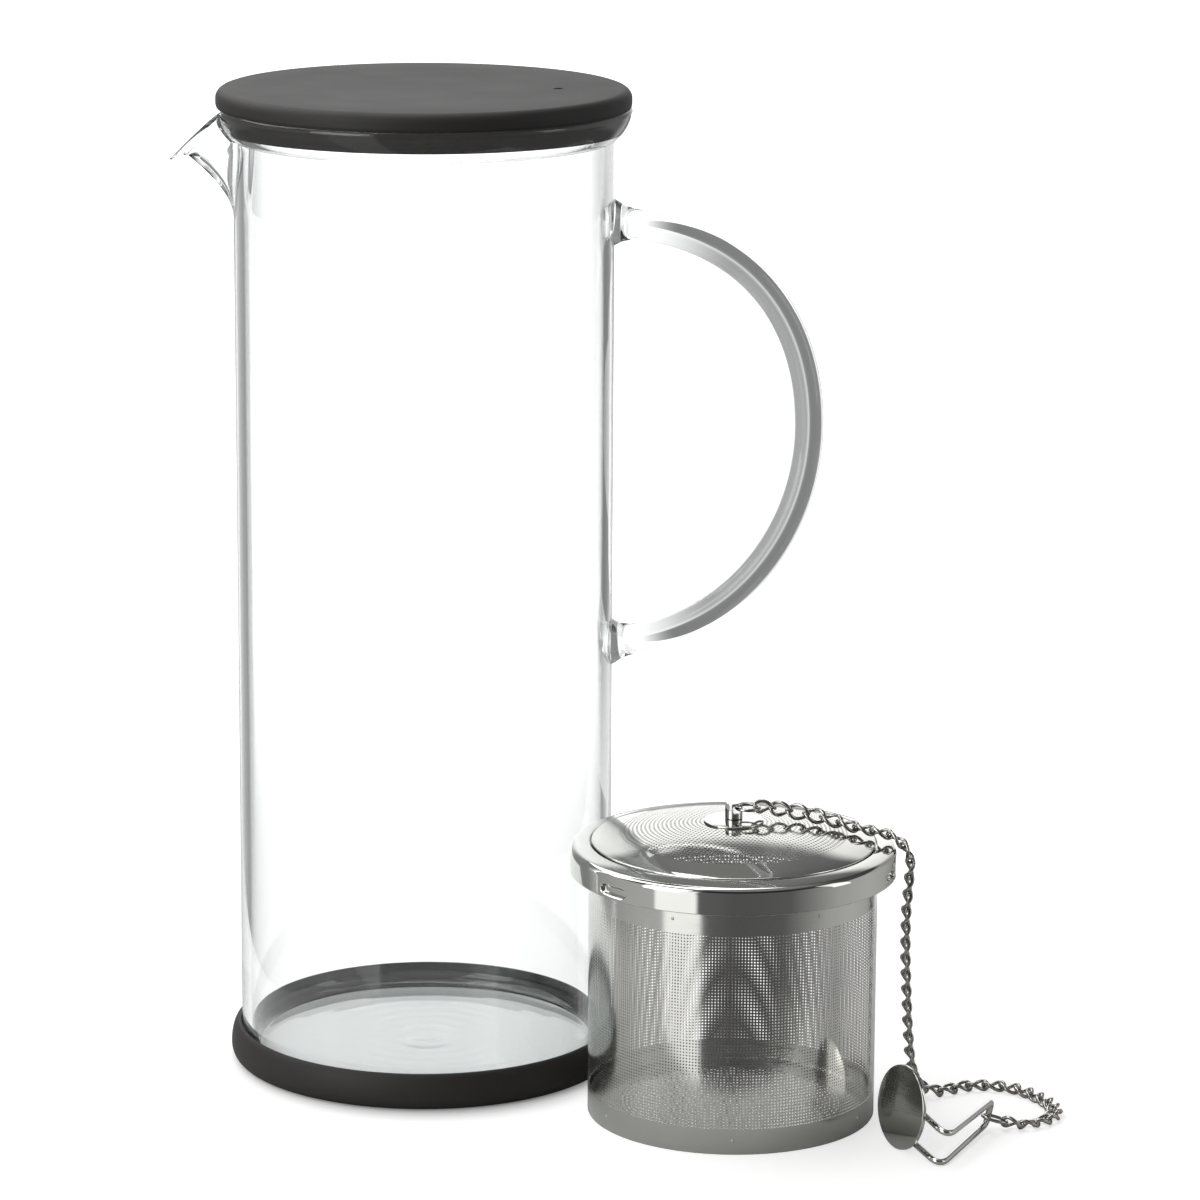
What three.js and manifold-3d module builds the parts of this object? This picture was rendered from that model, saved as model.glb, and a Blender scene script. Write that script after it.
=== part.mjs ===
// An infusion pitcher: a tall blown-glass jug with a pulled spout, a plug lid and a soft foot ring, and
// the steel leaf infuser that stands beside it with its bayonet lid, curb chain and rim hook.
// Millimetres, +Z up. The jug's spout points to -X and its handle to +X.
import * as THREE from 'three';
import { mergeVertices } from 'three/addons/utils/BufferGeometryUtils.js';
import Module from 'manifold-3d';

// Fits and facets
const FIT_GAP = 0.3;
const TURN_STEPS = 40;
const SMALL_TURN_STEPS = 20;
const MERGE_DISTANCE = 1e-4;

// Glass jug
const GLASS_RADIUS = 47.5;
const GLASS_WALL = 2.5;
const GLASS_FLOOR = 3.6;
const FOOT_CORNER = 5;
const RIM_HEIGHT = 248;
const COLLAR_HEIGHT = 8.4;
const COLLAR_FLARE = 4.9;
const COLLAR_BULGE = 0.7;
const PONTIL_RADIUS = 7.5;
const PONTIL_RISE = 0.5;

// Pulled spout
const SPOUT_REACH = 14.3;
const SPOUT_DROP = 11;
const SPOUT_HEIGHT = 29;
const SPOUT_WIDTH = 26;
const SPOUT_TIP_ROUND = 2.6;
const SPOUT_BEND = 1.75;
const SPOUT_LIP_CURL = 2;

// Glass handle
const HANDLE_ROD = 7.5;
const HANDLE_REACH = 50.1;
const HANDLE_DROP = 29.6;
const HANDLE_SPAN = 108.4;
const HANDLE_SAG = 0.479;
const WELD_SWELL = 2.4;
const WELD_LENGTH = 2.4;

// Foot ring
const RING_HEIGHT = 9.2;
const RING_WALL = 2.5;
const RING_LIP = 0.7;
const RING_LIP_REACH = 2.5;
const RING_ROUND = 2.3;

// Jug lid
const LID_INSET = 0.4;
const LID_THICKNESS = 4;
const LID_CROWN = 0.5;
const LID_ROUND = 1.4;
const LID_WALL = 2.6;
const PLUG_DEPTH = 6.2;
const PLUG_CLEARANCE = 0.45;
const PLUG_ROUND = 1;
const VENT_RADIUS = 1.2;
const VENT_OFFSET = 33.6;

// Infuser basket, and where it stands by the jug
const INFUSER_GAP = 2.6;
const INFUSER_BEARING = -30.4;
const SHEET = 0.5;
const BASKET_RADIUS = 36.1;
const BASKET_HEIGHT = 67.9;
const MESH_LOW = 6.4;
const MESH_HIGH = 56;
const WINDOW_COLUMNS = 24;
const WINDOW_ROWS = 5;
const WINDOW_SHARE = 0.56;
const FLOOR_HEIGHT = 1.2;
const FLOOR_TURN_UP = 4;
const FLOOR_ROUND = 1.2;
const RIM_FLANGE = 3.2;
const RIM_THICKNESS = 1.2;
const RIM_SLEEVE = 4.2;

// Infuser lid
const SKIRT_GAP = 0.6;
const SKIRT_HEIGHT = 6.3;
const LID_SHEET = 0.6;
const SHOULDER_WIDTH = 5;
const SHOULDER_RISE = 1.2;
const SHOULDER_ROUND = 0.8;
const SEAT_WIDTH = 3.4;
const SEAT_DEPTH = 0.9;
const SCREEN_LIP = 0.9;
const DOME_RISE = 4.9;
const DIMPLE_COUNT = 3;
const DIMPLE_ANGLE = 222;
const DIMPLE_LENGTH = 9;
const DIMPLE_RADIUS = 1.25;
const DIMPLE_DEPTH = 1.3;
const WASHER_RADIUS = 7.5;
const WASHER_THICKNESS = 0.4;
const STUD_RADIUS = 2.2;
const STUD_HEIGHT = 4.1;
const SHANK_RADIUS = 1.3;
const STUD_FOOT_RADIUS = 3.4;
const STUD_FOOT_THICKNESS = 0.8;
const STUD_HOLE_RADIUS = 1.15;
const STUD_HOLE_OFFSET = 0.7;
const STUD_HOLE_DROP = 1.6;

// Chain
const LINK_COUNT = 40;
const LINK_WIRE = 0.85;
const LINK_WIDTH = 4.4;
const LINK_PLAY = 0.4;
const LINK_TWIST = 112;
const STANDING_TURN = 140;
const STANDING_RUN = 34;
const JUMP_RING_RADIUS = 2.9;
const END_RING_LENGTH = 7.2;
const END_RING_WIDTH = 4.9;
const END_TURN = 35;
const END_TURN_RUN = 16;

// The chain's route. Over the lid: out as a share of the lid's radius, sideways, and up as a share of the
// way from the lid's shoulder to the stud's hole
const ROUTE_OVER_LID = [
  [0.015, 0, 1], [0.148, 1.1, 1.01], [0.207, 1.9, 0.98], [0.308, 2.8, 0.89], [0.407, 3.1, 0.81],
  [0.505, 2.7, 0.73], [0.603, 1.9, 0.64], [0.73, 1, 0.495], [0.86, 0.4, 0.385],
  [0.919, 0.3, 0.333], [0.973, 0.2, 0.24],
];
// Down the side: out from the skirt, sideways, and up as a share of the shoulder's height
const ROUTE_DOWN_SIDE = [
  [0.8, 0.1, 1.013], [2.2, 0.1, 0.985], [3.1, 0.2, 0.953], [3.4, 0.3, 0.92], [3, 0.7, 0.82],
  [2.7, 1.2, 0.727], [2.8, 2, 0.581], [3.3, 3.2, 0.436],
  [3.9, 4.3, 0.291], [4.6, 5.4, 0.182],
];
// On the table: out from the skirt, sideways and up
const ROUTE_ON_TABLE = [
  [5.2, 6, 9.4], [6.4, 6.8, 6], [8.3, 7.9, 3.4], [11.1, 9.3, 1.8], [14.2, 11.1, 1.3], [17.8, 13.2, 1.3],
  [21.6, 14.6, 1.3], [25.9, 14.7, 1.3], [30, 13.4, 1.3], [33.7, 10.6, 1.3], [36.7, 6.6, 1.3],
  [39.1, 2.2, 1.3], [40.4, -2.6, 1.3],
  [40.3, -7.2, 1.3], [38.4, -11.2, 1.3], [35.2, -14.2, 1.3], [31.4, -15.9, 1.5], [27.4, -16.5, 2.4],
  [21.6, -16.9, 4],
];

// Rim hook, lying on its side where the chain ends
const HOOK_WIRE = 1.6;
const HOOK_LONG_LEG = 32;
const HOOK_SHORT_LEG = 21;
const HOOK_ANGLE = 52;
const HOOK_BEND_RUN = 5;
const HOOK_CORNER_RUN = 1.6;
const HOOK_SPREAD = 8.6;
const HOOK_BIGHT = 6.2;
const HOOK_WAIST = 1.08;
const HOOK_HEADING = 65.6;
const HOOK_TILT = 12.7;
const DISC_RADIUS = 10.5;
const DISC_THICKNESS = 1;
const DISC_SET = 19.3;
const TABLE_GAP = 0.05;

// Levels and radii that follow from the sizes above
const JUG_BOTTOM = RING_LIP + FIT_GAP;
const JUG_FLOOR = JUG_BOTTOM + GLASS_FLOOR;
const COLLAR_BASE = RIM_HEIGHT - COLLAR_HEIGHT;
const SPOUT_BASE = RIM_HEIGHT - SPOUT_HEIGHT;
const GLASS_INNER = GLASS_RADIUS - GLASS_WALL;
const INNER_COLLAR_BASE = COLLAR_BASE + 0.4 * GLASS_WALL;
const HANDLE_TOP = RIM_HEIGHT - HANDLE_DROP;
const HANDLE_BOTTOM = HANDLE_TOP - HANDLE_SPAN;
const HANDLE_MIDDLE = HANDLE_TOP - HANDLE_SAG * HANDLE_SPAN;
const LID_RADIUS = GLASS_RADIUS + COLLAR_FLARE - LID_INSET;
const LID_BOTTOM = RIM_HEIGHT + FIT_GAP;
const LID_TOP = LID_BOTTOM + LID_THICKNESS;
const SLEEVE_INNER = BASKET_RADIUS + FIT_GAP;
const FLANGE_RADIUS = SLEEVE_INNER + RIM_FLANGE;
const SKIRT_INNER = FLANGE_RADIUS + SKIRT_GAP;
const SKIRT_RADIUS = SKIRT_INNER + LID_SHEET;
const SHOULDER_TOP = BASKET_HEIGHT + FIT_GAP + LID_SHEET;
const SKIRT_BOTTOM = SHOULDER_TOP - SKIRT_HEIGHT;
const SEAT_RADIUS = SKIRT_RADIUS - SHOULDER_WIDTH;
const SEAT_TOP = SHOULDER_TOP + SHOULDER_RISE - SEAT_DEPTH;
const SCREEN_RADIUS = SEAT_RADIUS - FIT_GAP;
const SCREEN_EDGE = SEAT_TOP + FIT_GAP + SCREEN_LIP;
const SCREEN_TOP = SCREEN_EDGE + DOME_RISE;
const WASHER_TOP = SCREEN_TOP + FIT_GAP + WASHER_THICKNESS;
const STUD_BOTTOM = WASHER_TOP + FIT_GAP;
const STUD_TOP = WASHER_TOP + STUD_HEIGHT;
const STUD_HOLE_LEVEL = STUD_TOP - STUD_HOLE_DROP;

const wasm = await Module();
wasm.setup();

// Merge the corners that faces share, and drop the empty faces that meet on an axis
function closeUp(geometry) {
  const bare = geometry.clone();
  bare.deleteAttribute('normal');
  bare.deleteAttribute('uv');
  const merged = mergeVertices(bare, MERGE_DISTANCE);
  const corners = merged.index.array;
  const faces = [];
  for (let i = 0; i < corners.length; i += 3) {
    const [a, b, c] = corners.slice(i, i + 3);
    if (a !== b && b !== c && c !== a) faces.push(a, b, c);
  }
  merged.setIndex(faces);
  return merged;
}

function toSolid(geometry) {
  const closed = closeUp(geometry);
  return new wasm.Manifold(new wasm.Mesh({
    numProp: 3,
    vertProperties: new Float32Array(closed.attributes.position.array),
    triVerts: new Uint32Array(closed.index.array),
  }));
}

function toGeometry(solid) {
  const mesh = solid.getMesh();
  const geometry = new THREE.BufferGeometry();
  geometry.setAttribute('position', new THREE.BufferAttribute(new Float32Array(mesh.vertProperties), 3));
  geometry.setIndex(new THREE.BufferAttribute(new Uint32Array(mesh.triVerts), 1));
  return geometry;
}

// Turn a profile drawn as radius and height about the Z axis
function revolve(profile, divisions, steps = TURN_STEPS) {
  const turned = new THREE.LatheGeometry(profile.getPoints(divisions), steps);
  return closeUp(turned.rotateX(Math.PI / 2));
}

// Skin a run of rings of points: a run that isn't a loop is capped at both ends
function skin(rings, loop) {
  const around = rings[0].length;
  const points = rings.flat();
  const faces = [];
  const last = loop ? rings.length : rings.length - 1;
  for (let row = 0; row < last; row += 1) {
    const here = row * around;
    const next = ((row + 1) % rings.length) * around;
    for (let i = 0; i < around; i += 1) {
      const j = (i + 1) % around;
      faces.push(here + i, here + j, next + j, here + i, next + j, next + i);
    }
  }
  if (!loop) {
    const end = (rings.length - 1) * around;
    for (let i = 1; i < around - 1; i += 1) {
      faces.push(0, i + 1, i, end, end + i, end + i + 1);
    }
  }
  const geometry = new THREE.BufferGeometry().setFromPoints(points);
  geometry.setIndex(faces);
  return closeUp(geometry);
}

// A round rod along a curve, whose radius may change with the distance run
function rod(curve, steps, sides, loop, radiusAt) {
  const frames = curve.computeFrenetFrames(steps, loop);
  const length = curve.getLength();
  const rings = [];
  const count = loop ? steps : steps + 1;
  for (let i = 0; i < count; i += 1) {
    const centre = curve.getPointAt(i / steps);
    const radius = radiusAt((i / steps) * length, length);
    const ring = [];
    for (let k = 0; k < sides; k += 1) {
      const angle = (k / sides) * 2 * Math.PI;
      ring.push(centre.clone()
        .addScaledVector(frames.normals[i], radius * Math.cos(angle))
        .addScaledVector(frames.binormals[i], radius * Math.sin(angle)));
    }
    rings.push(ring);
  }
  return skin(rings, loop);
}

// Straight runs between points, with each inner corner eased over a given run
function easedPath(points, runs) {
  const path = new THREE.CurvePath();
  let start = points[0];
  for (let i = 1; i < points.length - 1; i += 1) {
    const corner = points[i];
    const before = corner.clone().add(start.clone().sub(corner).setLength(runs[i - 1]));
    const after = corner.clone().add(points[i + 1].clone().sub(corner).setLength(runs[i - 1]));
    path.add(new THREE.LineCurve3(start, before));
    path.add(new THREE.QuadraticBezierCurve3(before, corner, after));
    start = after;
  }
  path.add(new THREE.LineCurve3(start, points[points.length - 1]));
  return path;
}

function piece(name, geometry, colour, roughness, metalness) {
  const material = new THREE.MeshStandardMaterial({ color: colour, roughness, metalness });
  const mesh = new THREE.Mesh(geometry, material);
  mesh.name = name;
  return mesh;
}

function glass(name, geometry) {
  const mesh = piece(name, geometry, 0xdfe6e2, 0.05, 0);
  mesh.material.transparent = true;
  mesh.material.opacity = 0.4;
  return mesh;
}

function steel(name, geometry) {
  return piece(name, geometry, 0xc4c4c0, 0.25, 1);
}

// How far the flared collar stands out of the straight wall, at a height
function flareAt(height, base) {
  const share = THREE.MathUtils.clamp((height - base) / (RIM_HEIGHT - base), 0, 1);
  return COLLAR_FLARE * Math.sin(share * Math.PI / 2) ** COLLAR_BULGE;
}

// The jug's section: rows of radius and height from the middle of its underside, up the outside, over the
// rim, and down the inside to the middle of its floor
function jugRows() {
  const rows = [];
  const corner = (radius, middle, from, to) => {
    const steps = Math.round(Math.abs(to - from) * 8 / Math.PI / 2 + 1);
    for (let i = 0; i <= steps; i += 1) {
      const angle = THREE.MathUtils.lerp(from, to, i / steps);
      rows.push([middle[0] + radius * Math.cos(angle), middle[1] + radius * Math.sin(angle)]);
    }
  };
  const innerCorner = FOOT_CORNER - GLASS_WALL + 1;
  rows.push([0, JUG_BOTTOM]);
  corner(FOOT_CORNER, [GLASS_RADIUS - FOOT_CORNER, JUG_BOTTOM + FOOT_CORNER], -Math.PI / 2, 0);
  const wallSteps = [0, 0.2, 0.4, 0.6, 0.8];
  const collarSteps = [0, 0.1, 0.3, 0.6];
  const outer = wallSteps.map((t) => THREE.MathUtils.lerp(SPOUT_BASE, COLLAR_BASE, t));
  outer.push(...collarSteps.map((t) => THREE.MathUtils.lerp(COLLAR_BASE, RIM_HEIGHT, t)));
  outer.forEach((height) => rows.push([GLASS_RADIUS + flareAt(height, COLLAR_BASE), height]));
  const rimRound = GLASS_WALL / 2;
  corner(rimRound, [GLASS_RADIUS + COLLAR_FLARE - rimRound, RIM_HEIGHT - rimRound], 0, Math.PI);
  const inner = wallSteps.map((t) => THREE.MathUtils.lerp(SPOUT_BASE, INNER_COLLAR_BASE, t));
  inner.push(...collarSteps.map((t) => THREE.MathUtils.lerp(INNER_COLLAR_BASE, RIM_HEIGHT, t)));
  inner.reverse();
  inner.forEach((height) => rows.push([GLASS_INNER + flareAt(height, INNER_COLLAR_BASE), height]));
  corner(innerCorner, [GLASS_INNER - innerCorner, JUG_FLOOR + innerCorner], 0, -Math.PI / 2);
  rows.push([PONTIL_RADIUS, JUG_FLOOR]);
  rows.push([PONTIL_RADIUS * 0.6, JUG_FLOOR + PONTIL_RISE]);
  rows.push([0, JUG_FLOOR + PONTIL_RISE]);
  return rows;
}

// Where a point of the section goes at an angle from the spout's middle: near it the wall is drawn out
// and down, widest at the rim, and the lip curls over at its tip
function jugPoint(radius, height, angle, outside) {
  const rise = THREE.MathUtils.clamp((height - SPOUT_BASE) / SPOUT_HEIGHT, 0, 1);
  const half = Math.asin(SPOUT_WIDTH / 2 / (GLASS_RADIUS + COLLAR_FLARE)) * (0.4 + 0.6 * rise);
  const tip = SPOUT_TIP_ROUND / (GLASS_RADIUS + SPOUT_REACH);
  const away = Math.hypot(angle, tip) - tip;
  const pull = Math.max(0, 1 - away / half) ** 1.4;
  const straight = outside ? GLASS_RADIUS : GLASS_INNER;
  const thicken = outside ? 0 : 0.3 * GLASS_WALL * rise;
  const drawn = straight + SPOUT_REACH * rise ** SPOUT_BEND - thicken;
  const curl = SPOUT_LIP_CURL * pull * THREE.MathUtils.smoothstep(rise, 0.86, 1);
  const reach = THREE.MathUtils.lerp(radius, rise > 0 ? drawn : radius, pull) + 0.6 * curl;
  const level = height - SPOUT_DROP * rise * pull - (outside ? curl : 0.4 * curl);
  return new THREE.Vector3(-reach * Math.cos(angle), -reach * Math.sin(angle), level);
}

function glassBody() {
  const rows = jugRows();
  const around = 56;
  const crowding = 0.7;
  const rimRow = rows.reduce((best, row, i) => (row[1] > rows[best][1] ? i : best), 0);
  const rings = rows.map(([radius, height], index) => {
    const ring = [];
    for (let i = 0; i < around; i += 1) {
      const even = (i / around) * 2 * Math.PI - Math.PI;
      const angle = even - crowding * Math.sin(even);
      ring.push(jugPoint(radius, height, angle, index <= rimRow));
    }
    return ring;
  });
  return glass('glass_body', skin(rings, false));
}

// The handle's bow leaves the jug level, bends down and comes back level, and swells where it is fused on
function handle() {
  const point = (x, z) => new THREE.Vector3(x, 0, z);
  const root = GLASS_RADIUS - HANDLE_ROD / 2;
  const outermost = GLASS_RADIUS + HANDLE_REACH;
  const upper = HANDLE_TOP - HANDLE_MIDDLE;
  const lower = HANDLE_MIDDLE - HANDLE_BOTTOM;
  const bow = new THREE.CurvePath();
  bow.add(new THREE.CubicBezierCurve3(point(root, HANDLE_TOP), point(root + 0.7 * HANDLE_REACH, HANDLE_TOP),
    point(outermost, HANDLE_MIDDLE + 0.58 * upper), point(outermost, HANDLE_MIDDLE)));
  bow.add(new THREE.CubicBezierCurve3(point(outermost, HANDLE_MIDDLE),
    point(outermost, HANDLE_MIDDLE - 0.53 * lower), point(root + 0.64 * HANDLE_REACH, HANDLE_BOTTOM),
    point(root, HANDLE_BOTTOM)));
  const swell = (distance) => WELD_SWELL * Math.exp(-Math.max(0, distance - HANDLE_ROD / 2) / WELD_LENGTH);
  const bar = rod(bow, 40, 8, false, (run, length) => HANDLE_ROD / 2 + swell(run) + swell(length - run));
  const core = new THREE.CylinderGeometry(GLASS_RADIUS + FIT_GAP, GLASS_RADIUS + FIT_GAP, RIM_HEIGHT, 120);
  core.rotateX(Math.PI / 2).translate(0, 0, RIM_HEIGHT / 2);
  return glass('handle', toGeometry(toSolid(bar).subtract(toSolid(core))));
}

// A soft ring that hugs the jug's foot, with a lip turned in under its rounded corner
function baseRing() {
  const inner = GLASS_RADIUS + FIT_GAP;
  const outer = inner + RING_WALL;
  const corner = FOOT_CORNER + FIT_GAP;
  const lipEdge = GLASS_RADIUS - RING_LIP_REACH;
  const seat = GLASS_RADIUS - FOOT_CORNER;
  const lipAngle = -Math.acos((lipEdge - seat) / corner);
  const profile = new THREE.Path();
  profile.moveTo(lipEdge, 0);
  profile.lineTo(outer - RING_ROUND, 0);
  profile.absarc(outer - RING_ROUND, RING_ROUND, RING_ROUND, -Math.PI / 2, 0, false);
  profile.absarc(outer - RING_ROUND, RING_HEIGHT - RING_ROUND, RING_ROUND, 0, Math.PI / 2, false);
  profile.lineTo(inner, RING_HEIGHT);
  profile.absarc(seat, JUG_BOTTOM + FOOT_CORNER, corner, 0, lipAngle, true);
  profile.lineTo(lipEdge, 0);
  return piece('base_ring', revolve(profile, 2), 0x38383b, 0.7, 0);
}

// The lid: a round-edged flange on the rim, and a hollow plug that follows the flared mouth
function pitcherLid() {
  const plugBottom = RIM_HEIGHT - PLUG_DEPTH;
  const plugRadius = GLASS_INNER - PLUG_CLEARANCE;
  const profile = new THREE.Path();
  profile.moveTo(0, LID_TOP - LID_WALL);
  profile.lineTo(plugRadius - LID_WALL, LID_TOP - LID_WALL);
  profile.lineTo(plugRadius - LID_WALL, plugBottom);
  const plugSide = (height) => plugRadius + flareAt(height, INNER_COLLAR_BASE + FIT_GAP);
  profile.lineTo(plugSide(plugBottom) - PLUG_ROUND, plugBottom);
  [0, 0.3, 0.65, 1].forEach((t) => {
    const height = THREE.MathUtils.lerp(plugBottom + PLUG_ROUND, LID_BOTTOM, t);
    profile.lineTo(plugSide(height), height);
  });
  profile.lineTo(LID_RADIUS - LID_ROUND, LID_BOTTOM);
  profile.absarc(LID_RADIUS - LID_ROUND, LID_BOTTOM + LID_ROUND, LID_ROUND, -Math.PI / 2, 0, false);
  profile.absarc(LID_RADIUS - LID_ROUND, LID_TOP - LID_ROUND, LID_ROUND, 0, Math.PI / 2, false);
  profile.lineTo(LID_RADIUS * 0.5, LID_TOP + LID_CROWN * 0.75);
  profile.lineTo(0, LID_TOP + LID_CROWN);
  const vent = new THREE.CylinderGeometry(VENT_RADIUS, VENT_RADIUS, LID_THICKNESS * 3, 12);
  vent.rotateX(Math.PI / 2).translate(VENT_OFFSET, 0, LID_TOP);
  const lid = toSolid(revolve(profile, 1)).subtract(toSolid(vent));
  return piece('pitcher_lid', toGeometry(lid), 0x55565a, 0.6, 0);
}

// The wall, whose field of fine etched holes is cut as a coarse grid of windows with the same open share
function basketWall() {
  const profile = new THREE.Path();
  profile.moveTo(BASKET_RADIUS - SHEET, 0);
  profile.lineTo(BASKET_RADIUS, 0);
  profile.lineTo(BASKET_RADIUS, BASKET_HEIGHT);
  profile.lineTo(BASKET_RADIUS - SHEET, BASKET_HEIGHT);
  profile.lineTo(BASKET_RADIUS - SHEET, 0);
  let wall = toSolid(revolve(profile, 1, 2 * WINDOW_COLUMNS));
  const rowPitch = (MESH_HIGH - MESH_LOW) / WINDOW_ROWS;
  const turn = (2 * Math.PI) / WINDOW_COLUMNS;
  const width = WINDOW_SHARE * turn * BASKET_RADIUS;
  for (let row = 0; row < WINDOW_ROWS; row += 1) {
    const level = MESH_LOW + (row + 0.5) * rowPitch;
    for (let column = 0; column < WINDOW_COLUMNS / 2; column += 1) {
      const bar = new THREE.BoxGeometry(3 * BASKET_RADIUS, width, WINDOW_SHARE * rowPitch);
      bar.translate(0, 0, level).rotateZ((column + 0.5) * turn);
      wall = wall.subtract(toSolid(bar));
    }
  }
  return steel('basket_wall', toGeometry(wall));
}

// A pressed pan, set inside the wall with its edge turned up
function basketFloor() {
  const outer = BASKET_RADIUS - SHEET - FIT_GAP;
  const top = FLOOR_HEIGHT + FLOOR_TURN_UP;
  const bend = FLOOR_ROUND + SHEET;
  const profile = new THREE.Path();
  profile.moveTo(0, FLOOR_HEIGHT);
  profile.lineTo(outer - bend, FLOOR_HEIGHT);
  profile.absarc(outer - bend, FLOOR_HEIGHT + bend, bend, -Math.PI / 2, 0, false);
  profile.lineTo(outer, top);
  profile.lineTo(outer - SHEET, top);
  profile.absarc(outer - bend, FLOOR_HEIGHT + bend, FLOOR_ROUND, 0, -Math.PI / 2, true);
  profile.lineTo(0, FLOOR_HEIGHT + SHEET);
  return steel('basket_floor', revolve(profile, 1));
}

function dimpleAngles() {
  return Array.from({ length: DIMPLE_COUNT }, (_, i) => (
    THREE.MathUtils.degToRad(DIMPLE_ANGLE + (i * 360) / DIMPLE_COUNT)
  ));
}

// The height of the lid's bayonet dimples, just under the basket's flange
function dimpleLevel() {
  return BASKET_HEIGHT - RIM_THICKNESS - FIT_GAP - DIMPLE_RADIUS - LID_SHEET;
}

// A sleeve round the wall's top with a flange turned out, notched where the lid's dimples pass
function basketRim() {
  const profile = new THREE.Path();
  profile.moveTo(SLEEVE_INNER, BASKET_HEIGHT - RIM_SLEEVE);
  profile.lineTo(SLEEVE_INNER + SHEET, BASKET_HEIGHT - RIM_SLEEVE);
  profile.lineTo(SLEEVE_INNER + SHEET, BASKET_HEIGHT - RIM_THICKNESS);
  profile.lineTo(FLANGE_RADIUS, BASKET_HEIGHT - RIM_THICKNESS);
  profile.lineTo(FLANGE_RADIUS, BASKET_HEIGHT);
  profile.lineTo(SLEEVE_INNER, BASKET_HEIGHT);
  profile.lineTo(SLEEVE_INNER, BASKET_HEIGHT - RIM_SLEEVE);
  let rim = toSolid(revolve(profile, 1));
  const notchFloor = SKIRT_INNER - DIMPLE_DEPTH - FIT_GAP * 2;
  const notchWidth = DIMPLE_LENGTH + 2 * LID_SHEET + 4 * FIT_GAP;
  dimpleAngles().forEach((angle) => {
    const notch = new THREE.BoxGeometry(RIM_FLANGE * 2, notchWidth, RIM_SLEEVE * 4);
    notch.translate(notchFloor + RIM_FLANGE, 0, BASKET_HEIGHT).rotateZ(angle);
    rim = rim.subtract(toSolid(notch));
  });
  return steel('basket_rim', toGeometry(rim));
}

// A bar with round ends that lies along the skirt at the middle of a dimple
function dimpleBar(radius, level, reach, angle) {
  const bar = new THREE.CapsuleGeometry(radius, DIMPLE_LENGTH - 2 * DIMPLE_RADIUS, 3, 8);
  return toSolid(bar.translate(reach, 0, 0).translate(0, 0, level).rotateZ(angle));
}

// The lid's pressed ring: a skirt, a sloped shoulder and a sunk seat for the screen
function infuserLidRing() {
  const crown = SHOULDER_TOP + SHOULDER_RISE;
  const profile = new THREE.Path();
  profile.moveTo(SKIRT_INNER, SKIRT_BOTTOM);
  profile.lineTo(SKIRT_RADIUS, SKIRT_BOTTOM);
  profile.absarc(SKIRT_RADIUS - SHOULDER_ROUND, SHOULDER_TOP - SHOULDER_ROUND, SHOULDER_ROUND, 0,
    Math.PI / 2, false);
  profile.lineTo(SEAT_RADIUS + LID_SHEET / 2, crown);
  profile.lineTo(SEAT_RADIUS, crown - LID_SHEET / 4);
  profile.lineTo(SEAT_RADIUS, SEAT_TOP);
  profile.lineTo(SEAT_RADIUS - SEAT_WIDTH, SEAT_TOP);
  profile.lineTo(SEAT_RADIUS - SEAT_WIDTH, SHOULDER_TOP - LID_SHEET);
  profile.lineTo(SKIRT_INNER, SHOULDER_TOP - LID_SHEET);
  profile.lineTo(SKIRT_INNER, SKIRT_BOTTOM);
  let ring = toSolid(revolve(profile, 1));
  const skirtCore = new THREE.CylinderGeometry(SKIRT_RADIUS - LID_SHEET / 2, SKIRT_RADIUS - LID_SHEET / 2,
    BASKET_HEIGHT * 2, TURN_STEPS);
  const inside = toSolid(skirtCore.rotateX(Math.PI / 2));
  const level = dimpleLevel();
  const hollowReach = SKIRT_INNER - DIMPLE_DEPTH + LID_SHEET + DIMPLE_RADIUS;
  dimpleAngles().forEach((angle) => {
    const boss = dimpleBar(DIMPLE_RADIUS + LID_SHEET, level, hollowReach, angle).intersect(inside);
    ring = ring.add(boss).subtract(dimpleBar(DIMPLE_RADIUS, level, hollowReach, angle));
  });
  return steel('infuser_lid_ring', toGeometry(ring));
}

// Height of the screen's upper face at a distance from its middle
function domeAt(radius) {
  return SCREEN_TOP - DOME_RISE * (radius / SCREEN_RADIUS) ** 2;
}

function infuserLidScreen() {
  const hole = SHANK_RADIUS + FIT_GAP;
  const inside = SCREEN_RADIUS - SHEET;
  const stations = [0.35, 0.7].map((share) => share * SCREEN_RADIUS);
  const profile = new THREE.Path();
  profile.moveTo(hole, domeAt(hole) - SHEET);
  stations.forEach((radius) => profile.lineTo(radius, domeAt(radius) - SHEET));
  profile.lineTo(inside, domeAt(inside) - SHEET);
  profile.lineTo(inside, SCREEN_EDGE - SCREEN_LIP);
  profile.lineTo(SCREEN_RADIUS, SCREEN_EDGE - SCREEN_LIP);
  profile.lineTo(SCREEN_RADIUS, SCREEN_EDGE);
  stations.reverse().forEach((radius) => profile.lineTo(radius, domeAt(radius)));
  profile.lineTo(hole, domeAt(hole));
  profile.lineTo(hole, domeAt(hole) - SHEET);
  return steel('infuser_lid_screen', revolve(profile, 1));
}

function lidWasher() {
  const bore = SHANK_RADIUS + FIT_GAP;
  const bottom = WASHER_TOP - WASHER_THICKNESS;
  const profile = new THREE.Path();
  profile.moveTo(bore, bottom);
  profile.lineTo(WASHER_RADIUS, bottom);
  profile.lineTo(WASHER_RADIUS, WASHER_TOP - WASHER_THICKNESS / 2);
  profile.lineTo(WASHER_RADIUS - WASHER_THICKNESS, WASHER_TOP);
  profile.lineTo(bore, WASHER_TOP);
  profile.lineTo(bore, bottom);
  return steel('lid_washer', revolve(profile, 1, SMALL_TURN_STEPS));
}

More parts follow.
